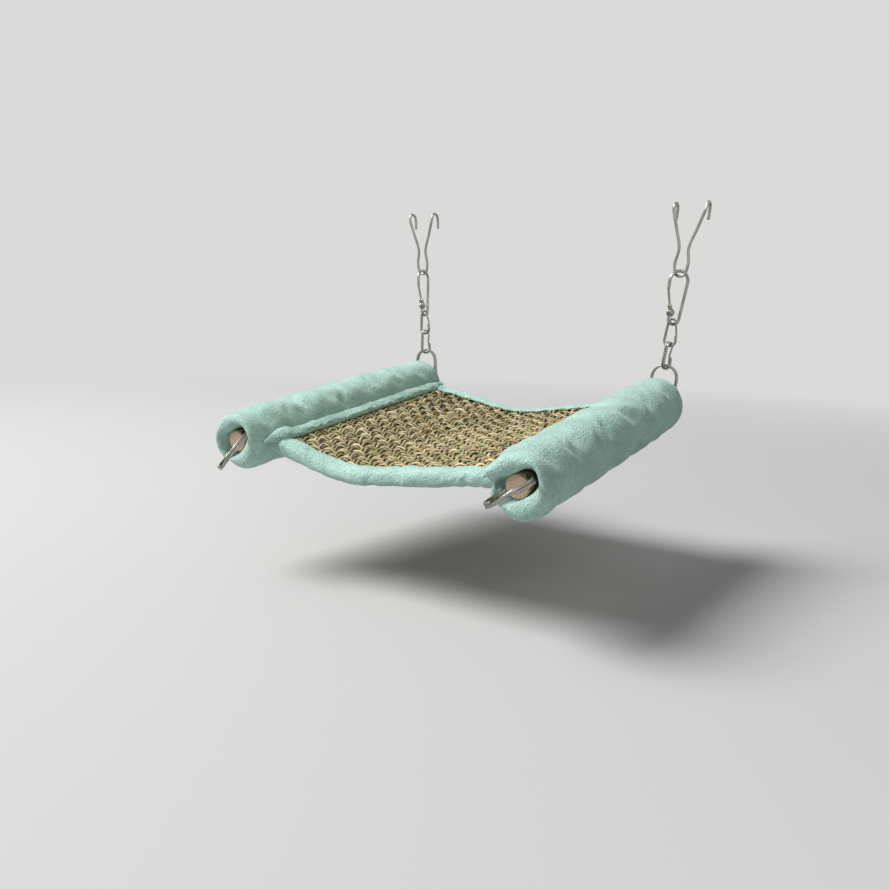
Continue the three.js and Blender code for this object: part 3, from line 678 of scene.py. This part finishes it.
def add_cover(name):
    cover = mesh_object(f"fleece_cover_{name}", *cover_mesh(name), FLEECE)
    cover.modifiers.new("smooth", "SUBSURF").levels = 1
    apply_modifiers(cover)
    seat(cover, "hammock", "fleece", f"roll_cover_{name}")


def add_wadding(name):
    """Fibre fill: an uneven tube with a plain bore."""
    inset, radius, bore, sides = 17, 15.7, 7.4, 40
    angle = round_angles(sides)
    front, back = ROLL_FRONT + inset, ROLL_BACK - inset
    rows = []
    for y in np.linspace(front, back, 48):
        lumps = 0.6 * soft_noise(hoop(16, y, angle), size=9.0, seed=21 + SIDES[name])
        rows.append(hoop(radius + lumps, y, angle))
    rows += [hoop(bore, y, angle) for y in np.linspace(back, front, 12)]
    points = from_hammock(np.concatenate(rows) + (SIDES[name] * ROLL_X, 0, 0))
    wadding = mesh_object(f"wadding_{name}", points, skin(len(rows), sides, "joined"), WADDING)
    seat(wadding, "hammock", "wadding", f"roll_padding_{name}")


# ---- Dowels ----

ROD_EDGE = 0.8
FACE_RING = (3.5, -0.02)
YEAR_RING_SHIFT = (2.0, 0, 4.5)


def add_dowel(name):
    """A turned rod with a rounded edge at its ends and a drilled cross hole near each."""
    end = [FACE_RING]
    for bend in np.linspace(0, QUARTER, 5):
        end.append((DOWEL_RADIUS - ROD_EDGE * (1 - sin(bend)), ROD_EDGE * (1 - cos(bend))))
    profile = [(0.0, DOWEL_FRONT)] + [(radius, DOWEL_FRONT + depth) for radius, depth in end]
    profile += [(DOWEL_RADIUS, y) for y in np.linspace(DOWEL_FRONT + 3, DOWEL_BACK - 3, 30)]
    profile += [(radius, DOWEL_BACK - depth) for radius, depth in reversed(end)] + [(0.0, DOWEL_BACK)]
    rod = mesh_object(f"dowel_rod_{name}", *lathe(profile, sides=48), WOOD)
    bar = np.linspace(-12, 12, 5)
    for y, tilt in ((0.0, 0.0), (FRONT_HOLE, HOLE_TILT[name])):
        path = np.stack([bar * cos(tilt), np.full(len(bar), y), bar * sin(tilt)], 1)
        points, faces, _ = tube(path, ellipse(2 * HOLE_RADIUS, 2 * HOLE_RADIUS, 28), (0, 1, 0))
        bit = mesh_object("bit", points, faces, WOOD)
        cut = rod.modifiers.new("hole", "BOOLEAN")
        cut.object = bit
        cut.operation = "DIFFERENCE"
        cut.solver = "EXACT"
        apply_modifiers(rod)
        bpy.data.objects.remove(bit)
    place = np.array([v.co for v in rod.data.vertices]) / MM
    add_attribute(rod.data, "grain", place + YEAR_RING_SHIFT)
    moved = from_hammock(place + (SIDES[name] * ROLL_X, 0, 0)) * MM
    rod.data.vertices.foreach_set("co", moved.astype(np.float32).ravel())
    rod.data.update()
    rod.data.set_sharp_from_angle(angle=radians(40))
    seat(rod, f"dowel_{name}", "dowel_wood", f"dowel_{name}")


# ---- Mat ----

# Cords across and along: the plies' offset, the painted highlight on their crests, start of the wave and
# seeds of noise
CORDS = (
    {"axis": 0, "pitch": 6.5, "offset": 2.05, "crest_painted_light": 1.35, "start": -1, "sway_seed": 2, "wave_seed": 6},
    {"axis": 1, "pitch": 7.4, "offset": 2.3, "crest_painted_light": 1.15, "start": 1, "sway_seed": 4, "wave_seed": 9},
)
SPANS = ((-MAT_HALF_X, MAT_HALF_X), (MAT_FRONT, MAT_BACK))
CORD_LIFT = 1.35
CORD_STEPS = 150
CORD_INSET = 0.4
CORD_ROOM = 4
# Painted shade in the hollows, and the range of the wave over which it turns into the crests' painted
# highlight
HOLLOW_SHADE = 0.15
PAINTED_LIGHT_FADE = (-0.8, 0.6)
# Plies of a cord: their twist wanders, and their thickness swells and shrinks
PLY_COUNT = 4
PLY_RADIUS = 0.84
PLY_SIDES = 6
PLY_SECTION = ellipse(2 * PLY_RADIUS, 2 * PLY_RADIUS * 0.92, PLY_SIDES)
PLY_FLAT = 0.38
PLY_TWIST = 58.0
GRAIN_SPREAD = (1, 0.2, 0.2)
# Blades of grass: their lengths, colours, the share of each colour and its darkest and lightest tone
BLADE_LENGTHS = (9, 30)
BLADE_COUNT = 40
STRAW = ((0.54, 0.45, 0.26), (0.62, 0.54, 0.35), (0.46, 0.37, 0.20), (0.40, 0.39, 0.18),
         (0.32, 0.35, 0.15), (0.43, 0.27, 0.15), (0.70, 0.64, 0.47))
STRAW_SHARE = (0.25, 0.25, 0.14, 0.12, 0.07, 0.05, 0.12)
STRAW_TONES = (0.62, 1.22)


def mat_height(x, y):
    """Height of the mat's middle surface, which sags to a slanting crease."""
    along = (y - ROLL_FRONT) / ROLL_LENGTH
    crease = CREASE_FRONT_X + (CREASE_BACK_X - CREASE_FRONT_X) * along
    reach = np.where(x > crease, MAT_HALF_X - crease, -MAT_HALF_X - crease)
    share = np.minimum((x - crease) / reach, 1)
    soft = (np.hypot(share, CREASE_SOFT) - CREASE_SOFT) / (hypot(1, CREASE_SOFT) - CREASE_SOFT)
    return -MAT_EDGE_DROP - MAT_SAG * (1 - soft)


def blade_colours(steps, random):
    """Colour along a ply, which changes from one length of grass to the next."""
    knots = np.cumsum(random.uniform(*BLADE_LENGTHS, BLADE_COUNT))
    knots = knots[knots < steps[-1] + BLADE_LENGTHS[1]]
    picks = random.choice(len(STRAW), len(knots), p=STRAW_SHARE)
    tint = np.array(STRAW)[picks] * random.uniform(*STRAW_TONES, (len(knots), 1))
    return np.stack([np.interp(steps, knots - BLADE_LENGTHS[0], tint[:, k]) for k in range(3)], 1)


def cord(path, offset, random, above, below):
    """Twisted plies of grass along a path, their colours multiplied by painted shade and highlight given
    apart for sides that face up and down.
    """
    _, normal, binormal = frames_along(path, (0, 0, 1))
    steps = travelled(path)

    def uneven(size, knots):
        return np.interp(steps, np.linspace(0, steps[-1], knots), random.uniform(-size, size, knots))

    wander = uneven(size=1.5, knots=9)
    spin = 2 * np.pi * steps / PLY_TWIST + random.uniform(0, 2 * np.pi) + wander
    # Painted light and shade round each ply: its upper sides take the values in above, its lower sides those
    # in below
    top = smoothstep(-0.5, 0.5, PLY_SECTION[:, 0] / PLY_RADIUS)
    painted_light_and_shade = below[:, None] + (above - below)[:, None] * top
    parts, colours = [], []
    for start in round_angles(PLY_COUNT):
        turned = (spin + start)[:, None]
        centre = path + offset * (np.cos(turned) * binormal + PLY_FLAT * np.sin(turned) * normal)
        swelling = 1 + 0.16 * uneven(size=1, knots=25)
        points, faces, grain = tube(centre, PLY_SECTION, up=(0, 0, 1), cap=0.3, cap_steps=2)
        body = slice(PLY_SIDES, PLY_SIDES * (1 + len(path)))
        spread = points[body].reshape(-1, PLY_SIDES, 3) - centre[:, None]
        points[body] = (centre[:, None] + spread * swelling[:, None, None]).reshape(-1, 3)
        grain = grain + random.uniform(0, 400, 3) * GRAIN_SPREAD
        # Blade colours with the painted light and shade multiplied in
        colour = blade_colours(steps, random)[:, None] * painted_light_and_shade[..., None]
        rows = np.concatenate([colour[:1], colour, colour[-1:]]).reshape(-1, 3)
        rows = np.concatenate([rows, colour[:1, 0], colour[-1:, 0]])
        colours.append(np.concatenate([rows, np.ones((len(rows), 1))], 1))
        parts.append((points, faces, grain))
    return parts, colours


def lanes(span, pitch):
    """Place of the first of the cords that fit evenly in a span, and their number."""
    count = int((span[1] - span[0] - CORD_ROOM) // pitch)
    return (span[0] + span[1] - pitch * (count - 1)) / 2, count


def add_mat():
    """A plain weave of twisted cords, with painted highlight on the crests and painted shade in the hollows.
    """
    random = np.random.default_rng(seed=7)
    parts, colours = [], []
    for cords, others in (CORDS, CORDS[::-1]):
        run = SPANS[cords["axis"]]
        first, count = lanes(SPANS[others["axis"]], cords["pitch"])
        crossing, _ = lanes(run, others["pitch"])
        along = np.linspace(run[0] + CORD_INSET, run[1] - CORD_INSET, CORD_STEPS)
        for lane in range(count):
            where = np.stack([along, along * 0, along * 0 + lane * 40], -1)
            sway = 0.8 * soft_noise(where, size=22.0, seed=cords["sway_seed"])
            aside = first + lane * cords["pitch"] + sway
            wave = cords["start"] * (-1) ** lane * np.cos(np.pi * (along - crossing) / others["pitch"])
            wave = wave + 0.2 * soft_noise(where, size=14.0, seed=cords["wave_seed"])
            x, y = (aside, along) if cords["axis"] else (along, aside)
            path = np.stack([x, y, mat_height(x, y) + CORD_LIFT * wave], 1)
            # Painted light and shade: dark in the hollows and light on the crests, with the wave turned over
            # for the sides facing down
            painted_light_span = cords["crest_painted_light"] - HOLLOW_SHADE
            above, below = (HOLLOW_SHADE + painted_light_span * smoothstep(*PAINTED_LIGHT_FADE, face * wave) for face in (1, -1))
            plies, tints = cord(path, cords["offset"], random, above, below)
            parts.extend(plies)
            colours.extend(tints)
    points, faces, grain = joined(parts)
    mat = mesh_object("woven_seagrass", from_hammock(points), faces, SEAGRASS, grain, np.concatenate(colours))
    seat(mat, "hammock", "seagrass", "seagrass_mat")


# ---- Bindings and strips ----

BAND_ROWS = 110
# Section of a binding: distance in from the mat's end, height
BINDING_SECTION = ((10.6, 2.4), (6.0, 2.3), (2.7, 2.3), (2.2, 0.0), (2.7, -2.3), (6.0, -2.3), (10.6, -2.4),
                   (11.3, -3.6), (10.2, -4.9), (6.0, -5.5), (2.0, -5.0), (-0.2, -3.1), (-0.9, 0.0),
                   (-0.2, 3.1), (2.0, 5.0), (6.0, 5.5), (10.2, 4.9), (11.3, 3.6))
BINDING_POINTS = 54
BINDING_OVERLAP = 0.6
# Near the rolls: wider, flatter above, deeper below
FLARE = (58, 84)
FLARE_WIDTH, FLARE_TOP, FLARE_BOTTOM = 0.13, -0.20, 0.18
FLARE_HEIGHT = 2.6
# Where a binding is plump: by its height and its distance in
PLUMP_HEIGHT = (2.4, 4.2)
PLUMP_EDGE = (1.6, 0.2)
PLUMP_FRONT = (2.4, 0.0)
BINDING_LUMPS = ((0.7, 15.0), (0.3, 6.5))
# Where the ends of a binding meet the rolls
ROLL_MEETING = 9
ROLL_GAP = 0.3
ROLL_SINK = -0.2
# Section of a strip
STRIP_POINTS = 36
STRIP_RADII = (3.9, 2.9)
STRIP_TILT = radians(30)
# Middle of a strip, along it, over the front binding and at its tips: inset, height
STRIP_CENTRE = np.array((3.2, 4.6))
STRIP_OVER = np.array((2.9, 6.1))
STRIP_TIP = np.array((2.5, 4.0))
STRIP_FRONT = BINDING_FRONT - 8.5
STRIP_BACK = BINDING_BACK + 1.0
STRIP_CLIMB = (BINDING_FRONT + 22, BINDING_FRONT + 8)
FRONT_TIP, BACK_TIP = (STRIP_FRONT + 16, STRIP_FRONT), (STRIP_BACK - 20, STRIP_BACK)
TIP_HELD = (0.6, 0.9)
STRIP_PLUMP_HEIGHT = (2.6, 4.0)
STRIP_FLOOR = 2.3
STRIP_LUMPS = ((0.4, 16.0), (0.08, 7.0))
STRIP_SEED = {"left": 31, "right": 37}


def closed_curve(controls, count):
    """A smooth closed curve of evenly spread points through the controls."""
    knots = np.asarray(controls, float)
    n = len(knots)
    t = np.arange(count) * n / count
    i = np.floor(t).astype(int)
    f = (t - i)[:, None]
    a, b, c, d = (knots[(i + k) % n] for k in (-1, 0, 1, 2))
    cubic = (3 * b - a - 3 * c + d) * f ** 3
    return 0.5 * (2 * b + (c - a) * f + (2 * a - 5 * b + 4 * c - d) * f ** 2 + cubic)


def lumpy(where, lumps, seed):
    return sum(height * soft_noise(where, size, seed + 2 * k) for k, (height, size) in enumerate(lumps))


def add_band(piece_name, node, rows, held, reach):
    """A closed fleece band from its rows of points, puffed where it isn't held."""
    grid = np.array(rows)
    points, faces = from_hammock(grid.reshape(-1, 3)), skin(*grid.shape[:2], "flat")
    points = puffed(points, faces, np.array(held).ravel(), reach, growth=0.04)
    band = mesh_object(piece_name, points, faces, FLEECE)
    seat(band, "hammock", "fleece", node)


def add_binding(name, edge, inward, seed):
    """A fleece band folded over one end of the mat, plump, uneven and wider where it meets the rolls."""
    inset, rise = closed_curve(BINDING_SECTION, BINDING_POINTS).T
    flared = FLARE_BOTTOM * (rise < -FLARE_HEIGHT) + FLARE_TOP * (rise > FLARE_HEIGHT)
    outside = np.clip(smoothstep(*PLUMP_HEIGHT, np.abs(rise)) + smoothstep(*PLUMP_EDGE, inset), 0, 1)
    half = MAT_HALF_X + BINDING_OVERLAP
    rows, held = [], []
    for across in np.linspace(-half, half, BAND_ROWS):
        x = np.full(BINDING_POINTS, across)
        flare = smoothstep(*FLARE, abs(across))
        y = edge + inward * (inset * (1 + FLARE_WIDTH * flare))
        height = rise * (1 + flare * flared)
        plump = lumpy(np.stack([x, y, height], -1), BINDING_LUMPS, seed)
        height = height + np.sign(height) * outside * plump
        y = y - inward * smoothstep(*PLUMP_FRONT, inset) * 0.6 * plump
        z = mat_height(x, y) + height
        near = smoothstep(MAT_HALF_X - ROLL_MEETING, MAT_HALF_X, abs(across))
        wall = ROLL_X - np.sqrt(np.maximum((ROLL_RADIUS + ROLL_GAP) ** 2 - z ** 2, 1)) - MAT_HALF_X
        rows.append(np.stack([x + np.sign(across) * near * np.maximum(wall, ROLL_SINK), y, z], -1))
        held.append(1 - outside * (1 - near))
    add_band(f"fleece_binding_{name}", f"binding_{name}", rows, held, reach=0.9)


def add_strip(name):
    """A fleece ridge on the mat's side edge, leaning on the roll, with folded tips."""
    theta = round_angles(STRIP_POINTS)
    long, short = STRIP_RADII[0] * np.cos(theta), STRIP_RADII[1] * np.sin(theta)
    across = -long * cos(STRIP_TILT) + short * sin(STRIP_TILT)
    up = long * sin(STRIP_TILT) + short * cos(STRIP_TILT)
    rows, held = [], []
    for place in np.linspace(STRIP_FRONT, STRIP_BACK, BAND_ROWS):
        y = np.full(STRIP_POINTS, place)
        tip = max(float(smoothstep(*FRONT_TIP, place)), 0.85 * float(smoothstep(*BACK_TIP, place)))
        over = float(smoothstep(*STRIP_CLIMB, place))
        size = (1 + 0.12 * over) * (1 - 0.72 * tip ** 1.8)
        middle = STRIP_CENTRE + (STRIP_OVER - STRIP_CENTRE) * over
        centre = middle + (STRIP_TIP - middle) * tip
        inset, height = centre[0] + size * across, centre[1] + size * up
        outside = smoothstep(*STRIP_PLUMP_HEIGHT, height)
        plump = (1 - tip) * lumpy(np.stack([inset, y, height], -1), STRIP_LUMPS, STRIP_SEED[name])
        plump = size * outside * plump
        x = SIDES[name] * (MAT_HALF_X - inset - plump * np.cos(theta))
        rows.append(np.stack([x, y, mat_height(x, y) + np.maximum(height + plump, STRIP_FLOOR)], -1))
        held.append(np.maximum(1 - outside, smoothstep(*TIP_HELD, tip)))
    add_band(f"fleece_strip_{name}", f"roll_strip_{name}", rows, held, reach=0.8)


# ---- Wire pieces, drawn flat in X and Y ----

# Wound wire: its turns, and where along them it climbs from the first to the second
TURNS = 1.82
CLIMB = (0.84, 1.0)
RING_RADIUS = 14.25
RING_SECTION = rounded(1.82, 1.5, 4.0, 16)
RING_PITCH = 1.86
OVAL_RADIUS = 9.45
OVAL_TOP = 18.3
OVAL_CORNER = 5.0
LINK_SECTION = ellipse(1.40, 1.40, 14)
LINK_PITCH = 1.56
# Snap hooks: the eye that carries the gate, the nose, and the centre and radius of each bend
EYE = np.array([-3.1, 8.3, 0.0])
NOSE = np.array([-7.5, 25.0, 0.0])
HOOK_TOP_BEND = (np.array([0.0, 31.1]), 7.5)
HOOK_FOOT_BEND = (np.array([0.4, 4.3]), 4.3)
EYE_THICKNESS = 1.4
# Gates, whose cheeks stand beside the eye, with a gap there and at the nose
GATE_SECTION = ellipse(1.7, 1.7, 16)
GATE_GAP = 0.3
CHEEK_THICKNESS = 0.9
# Hangers: the foot of each, half widths and heights up a leg, and the roof hooks
HANGER_FOOT = {"left": (-113.8636, CHAIN_Y, -50.3567), "right": (113.7843, CHAIN_Y, -51.3646)}
HANGER_LEG = ((2.97, 1.23), (4.2, 4.2), (4.9, 9.5), (3.5, 20.0))
HANGER_TOP_HALF = 11.7
ROOF_HOOK_RADIUS = 3.3
ROOF_BEND = 4.4


def arc(centre, radius, start, end, count):
    angle = np.linspace(start, end, count)
    return np.stack([centre[0] + radius * np.cos(angle), centre[1] + radius * np.sin(angle)], 1)


def winding(outline, pitch):
    """Points of a flat closed outline wound nearly twice, the second turn a pitch above the first."""
    count = len(outline)
    t = np.linspace(0, TURNS, int(count * TURNS))
    closed = np.concatenate([outline, outline[:1]])
    where = (t % 1) * count
    flat = np.stack([np.interp(where, np.arange(count + 1), closed[:, k]) for k in (0, 1)], 1)
    return np.concatenate([flat, (pitch * (smoothstep(*CLIMB, t) - 0.5))[:, None]], 1)


def ring_mesh():
    """A front ring, hanging below its cross hole."""
    start = radians(-45)
    outline = arc((0, 0), RING_RADIUS, start, start + 2 * np.pi, 121)[:-1]
    path = winding(outline, RING_PITCH)
    return shifted(tube(path, RING_SECTION, up=(*path[0][:2], 0), cap=0.25), (0, -RING_LIFT, 0))


def oval_mesh():
    """A back ring about its cross hole: a foot bent like a front ring, two legs and a round top."""
    corner_x, foot_reach = OVAL_RADIUS - OVAL_CORNER, RING_RADIUS - OVAL_CORNER
    corner_y = RING_LIFT - sqrt(foot_reach ** 2 - corner_x ** 2)
    spread = asin(corner_x / foot_reach)
    outline = np.concatenate([
        [(OVAL_RADIUS, corner_y)], arc((0, OVAL_TOP), OVAL_RADIUS, 0, pi, 60),
        arc((-corner_x, corner_y), OVAL_CORNER, -pi, -QUARTER - spread, 20),
        arc((0, RING_LIFT), RING_RADIUS, -QUARTER - spread, -QUARTER + spread, 30),
        arc((corner_x, corner_y), OVAL_CORNER, -QUARTER + spread, 0, 20)])
    path = even(winding(even(outline, step=0.6)[:-1], RING_PITCH), step=0.6)
    return tube(path, RING_SECTION, up=(1, 0, 0), cap=0.25)


def link_mesh():
    """A teardrop link of round wire, standing on its foot."""
    foot, top, rise = 4.35, 3.2, 19.9
    tilt = asin((foot - top) / (rise - foot - top))
    top_arc = arc((0, rise - top), top, tilt, pi - tilt, 40)
    foot_arc = arc((0, foot), foot, pi - tilt, 2 * pi + tilt, 50)
    outline = even(np.concatenate([top_arc, foot_arc, top_arc[:1]]), step=0.5)[:-1]
    return tube(even(winding(outline, LINK_PITCH), step=0.5), LINK_SECTION, up=(0, 0, 1), cap=0.5)


def disc_mesh(radius, bore, thickness, edge):
    """A flat ring with rounded edges about Z."""
    sides, bore_edge, half = 40, 0.2, thickness / 2
    outer, inner = np.linspace(-QUARTER, QUARTER, 7), np.linspace(QUARTER, -QUARTER, 5)
    profile = [(radius - edge * (1 - cos(bend)), half * sin(bend)) for bend in outer]
    profile += [(bore + bore_edge * (1 - cos(bend)), half * sin(bend)) for bend in inner]
    angle = round_angles(sides)
    grid = np.array([hoop(r, z, angle) for r, z in profile])[..., [0, 2, 1]]
    around = np.broadcast_to(np.stack([np.cos(angle), np.sin(angle)], -1), (*grid.shape[:2], 2))
    grain = np.concatenate([grid[..., 2:], around], -1)
    return grid.reshape(-1, 3), skin(len(grid), sides, "joined"), grain.reshape(-1, 3)


def hook_mesh():
    """From the nose over the wide top, down the spine and round the foot to the eye."""
    (top, top_radius), (foot, foot_radius) = HOOK_TOP_BEND, HOOK_FOOT_BEND
    spine, from_foot = foot - top, EYE[:2] - foot
    spine_angle = -atan2(-spine[0], -spine[1]) - asin((top_radius - foot_radius) / np.linalg.norm(spine))
    eye_angle = atan2(from_foot[1], from_foot[0]) + acos(foot_radius / np.linalg.norm(from_foot))
    leave = foot + foot_radius * np.array([cos(eye_angle), sin(eye_angle)])
    flat = np.concatenate([
        [NOSE[:2]], arc(top, top_radius, pi, spine_angle, 50),
        arc(foot, foot_radius, spine_angle, eye_angle - 2 * pi, 50), [(leave + EYE[:2]) / 2]])
    path = even(np.concatenate([flat, np.zeros((len(flat), 1))], 1), step=0.7)
    eye = shifted(disc_mesh(radius=3.3, bore=1.1, thickness=EYE_THICKNESS, edge=0.5), EYE)
    return joined([tube(path, ellipse(2.32, 2.32, 18), up=(0, 0, 1), cap=0.7), eye])


def gate_mesh():
    """A stem up to the nose, a bridge across its foot and two arms with cheeks beside the eye."""
    nose = NOSE - (0, GATE_GAP, 0)
    rise = np.linalg.norm(nose - EYE)
    beside = EYE_THICKNESS / 2 + GATE_GAP + CHEEK_THICKNESS / 2
    bridge, over = 5.2, beside + 0.2
    flat = rounded(CHEEK_THICKNESS, 1.8, 4.0, 16)

    def bar(start, end, section, up, step, cap):
        return tube(even([start, end], step), section, up, cap)

    parts = [bar((0, 4.0, 0), (0, rise, 0), GATE_SECTION, up=(0, 0, 1), step=0.8, cap=0.4),
             bar((0, bridge, -over), (0, bridge, over), GATE_SECTION, up=(0, 1, 0), step=0.5, cap=0.3)]
    for z in (beside, -beside):
        cheek = disc_mesh(radius=2.6, bore=1.1, thickness=CHEEK_THICKNESS, edge=0.35)
        arm = bar((0, 0.6, z), (0, 5.4, z), flat, up=(1, 0, 0), step=0.6, cap=0.2)
        parts += [arm, shifted(cheek, (0, 0, z))]
    points, faces, grain = joined(parts)
    lean = atan2(nose[1] - EYE[1], nose[0] - EYE[0]) - QUARTER
    return turn(points, 2, lean) + EYE, faces, grain


def rivet_mesh():
    """A pin through the eye and the cheeks, with a domed head at each end."""
    pin, head, dome = 0.8, 1.5, 0.7
    seat_z = EYE_THICKNESS / 2 + 2 * GATE_GAP + CHEEK_THICKNESS
    half = [(pin, seat_z), (head, seat_z)]
    half += [(head * sin(bend), seat_z + dome * cos(bend)) for bend in np.linspace(QUARTER, 0.2, 6)]
    half.append((0, seat_z + dome))
    points, faces = lathe([(radius, -z) for radius, z in reversed(half)] + half, sides=32)
    points = points[:, [0, 2, 1]]
    radius = np.hypot(points[:, 0], points[:, 1])[:, None]
    return points + EYE, faces, np.concatenate([radius, points[:, :2] / np.maximum(radius, TINY)], 1)


def catmull_rom(points, per_span):
    """A centripetal curve through the points, ends included."""
    p = np.asarray(points, float)
    p = np.concatenate([[2 * p[0] - p[1]], p, [2 * p[-1] - p[-2]]])

    def between(t, start, end, a, b):
        return (end - t) / (end - start) * a + (t - start) / (end - start) * b

    out = []
    for i in range(1, len(p) - 2):
        a, b, c, d = p[i - 1:i + 3]
        t0, t1, t2, t3 = np.cumsum([0, *(np.linalg.norm(q - o) ** 0.5 for o, q in ((a, b), (b, c), (c, d)))])
        for t in np.linspace(t1, t2, per_span, endpoint=False):
            bc = between(t, t1, t2, b, c)
            abc = between(t, t0, t2, between(t, t0, t1, a, b), bc)
            bcd = between(t, t1, t3, bc, between(t, t2, t3, c, d))
            out.append(between(t, t1, t2, abc, bcd))
    out.append(p[-2])
    return np.array(out)


def hanger_mesh(name):
    """One wire from a roof hook down its leg, through the foot and up to the other hook."""
    shear = tan(LEAN) * SIDES[name]
    top, half = -HANGER_FOOT[name][2] - ROOF_HOOK_RADIUS, HANGER_TOP_HALF
    waist_half, waist = HANGER_LEG[-1]
    legs = [(*place, 0) for place in (*HANGER_LEG, ((waist_half + half) / 2, (waist + top) / 2))]
    legs += [(half, top + ROOF_BEND * sin(bend), ROOF_BEND * (1 - cos(bend)))
             for bend in np.linspace(0, pi, 5)]
    legs.append((half, top - 7, 2 * ROOF_BEND))

    def leg(sign):
        return [(sign * across + shear * up, back, up) for across, up, back in legs]

    path = even(catmull_rom(leg(-1)[::-1] + [(0, 0, 0)] + leg(1), per_span=12), step=0.7)
    return shifted(tube(path, ellipse(2.2, 2.2, 16), up=(1, 0, 0), cap=0.8), HANGER_FOOT[name])


def add_wire(piece_name, node, body, mesh, place):
    points, faces, grain = mesh
    seat(mesh_object(piece_name, place(points), faces, STEEL, grain), body, "steel", node)


def add_chain(name):
    def stand(twist, height):
        return lambda points: from_chain(points, SIDES[name], twist, height)

    chain, snap_hook = f"chain_{name}", f"snap_hook_{name}"
    hook, ring = stand(HOOK_TWIST[name], HOOK_FOOT), stand(0.0, 0.0)
    upper, lower = stand(UPPER_LINK_TWIST, UPPER_LINK_FOOT), stand(LOWER_LINK_TWIST, LOWER_LINK_FOOT)
    add_wire(f"hanger_{name}_bent_wire", f"hanger_wire_{name}", "hangers", hanger_mesh(name), np.asarray)
    add_wire(f"hook_{name}_body", snap_hook, snap_hook, hook_mesh(), hook)
    add_wire(f"hook_{name}_gate", f"snap_gate_{name}", f"snap_gate_{name}", gate_mesh(), hook)
    add_wire(f"hook_{name}_rivet", f"gate_rivet_{name}", snap_hook, rivet_mesh(), hook)
    add_wire(f"link_upper_{name}", f"upper_link_{name}", chain, link_mesh(), upper)
    add_wire(f"link_lower_{name}", f"lower_link_{name}", chain, link_mesh(), lower)
    add_wire(f"ring_back_{name}", f"split_ring_back_{name}", chain, oval_mesh(), ring)
    add_wire(f"ring_front_{name}", f"split_ring_front_{name}", f"front_ring_{name}", ring_mesh(),
             lambda points: from_front_hole(points, name))


# ---- Floor and light, in metres ----

FLOOR_PLACE = (0, -0.12, -0.262)
FLOOR_FADE = (0.35, 1.6)
FLOOR_LIT, FLOOR_SEEN = (0.45, 0.45, 0.445), (0.56, 0.56, 0.555)
WORLD_LIGHT = 0.22
WORLD_SEEN = (0.70, 0.70, 0.695)
AIM = (0, -0.12, -0.16)


def add_stage():
    """A pale floor that fades into the background and can't be seen from below."""
    paint = Paint("floor", Roughness=0.9, Specular_IOR_Level=0.1)
    seen = paint.node("ShaderNodeLightPath", {}).outputs["Is Camera Ray"]
    paint.finish(Base_Color=paint.mix(FLOOR_LIT, FLOOR_SEEN, seen, "MIX"))
    distance = paint.node("ShaderNodeVectorMath", {0: paint.coordinates()}, operation="LENGTH")
    fade = paint.grade(distance.outputs["Value"], *FLOOR_FADE, 0.0, 1.0)
    behind = paint.node("ShaderNodeNewGeometry", {}).outputs["Backfacing"]
    through = paint.node("ShaderNodeBsdfTransparent", {})
    clear = paint.math("MAXIMUM", fade, behind)
    paint.show("Material Output", clear, paint.shader.outputs[0], through.outputs[0])
    mesh = bpy.data.meshes.new("floor")
    rim = hoop(3, 0, round_angles(96))[:, [0, 2, 1]]
    mesh.from_pydata(rim.tolist(), [], [list(range(len(rim)))])
    mesh.materials.append(paint.material)
    floor = add_object("floor", mesh)
    floor.location = FLOOR_PLACE


def add_lamp(name, place, size, power):
    data = bpy.data.lights.new(name, "AREA")
    data.shape = "DISK"
    data.size = size
    data.energy = power
    lamp = add_object(name, data)
    lamp.location = place
    lamp.rotation_euler = (Vector(AIM) - Vector(place)).to_track_quat("-Z", "Y").to_euler()


def add_world():
    """Soft light from all round, with a plain pale background where it is seen or mirrored."""
    world = bpy.data.worlds.new("studio")
    SCENE.world = world
    world.use_nodes = True
    nodes = Nodes(world.node_tree)
    lit = nodes.tree.nodes["Background"]
    nodes.feed(lit.inputs["Color"], (1.0, 1.0, 1.0))
    nodes.feed(lit.inputs["Strength"], WORLD_LIGHT)
    seen = nodes.node("ShaderNodeBackground", {"Color": WORLD_SEEN, "Strength": 1.0})
    rays = nodes.node("ShaderNodeLightPath", {}).outputs
    shown = nodes.math("MAXIMUM", rays["Is Camera Ray"], rays["Is Glossy Ray"])
    shown = nodes.math("MAXIMUM", shown, rays["Is Transmission Ray"])
    nodes.show("World Output", shown, lit.outputs[0], seen.outputs[0])


add_stage()
add_world()
add_lamp("key", (-1.65, -1.2, 2.1), size=1.7, power=126.0)
add_lamp("fill", (0.9, -0.9, 0.5), size=1.0, power=1.0)

for side_name in SIDES:
    add_cover(side_name)
    add_wadding(side_name)
    add_dowel(side_name)
    add_strip(side_name)
    add_chain(side_name)
add_mat()
add_binding("front", BINDING_FRONT, 1, 41)
add_binding("back", BINDING_BACK, -1, 43)
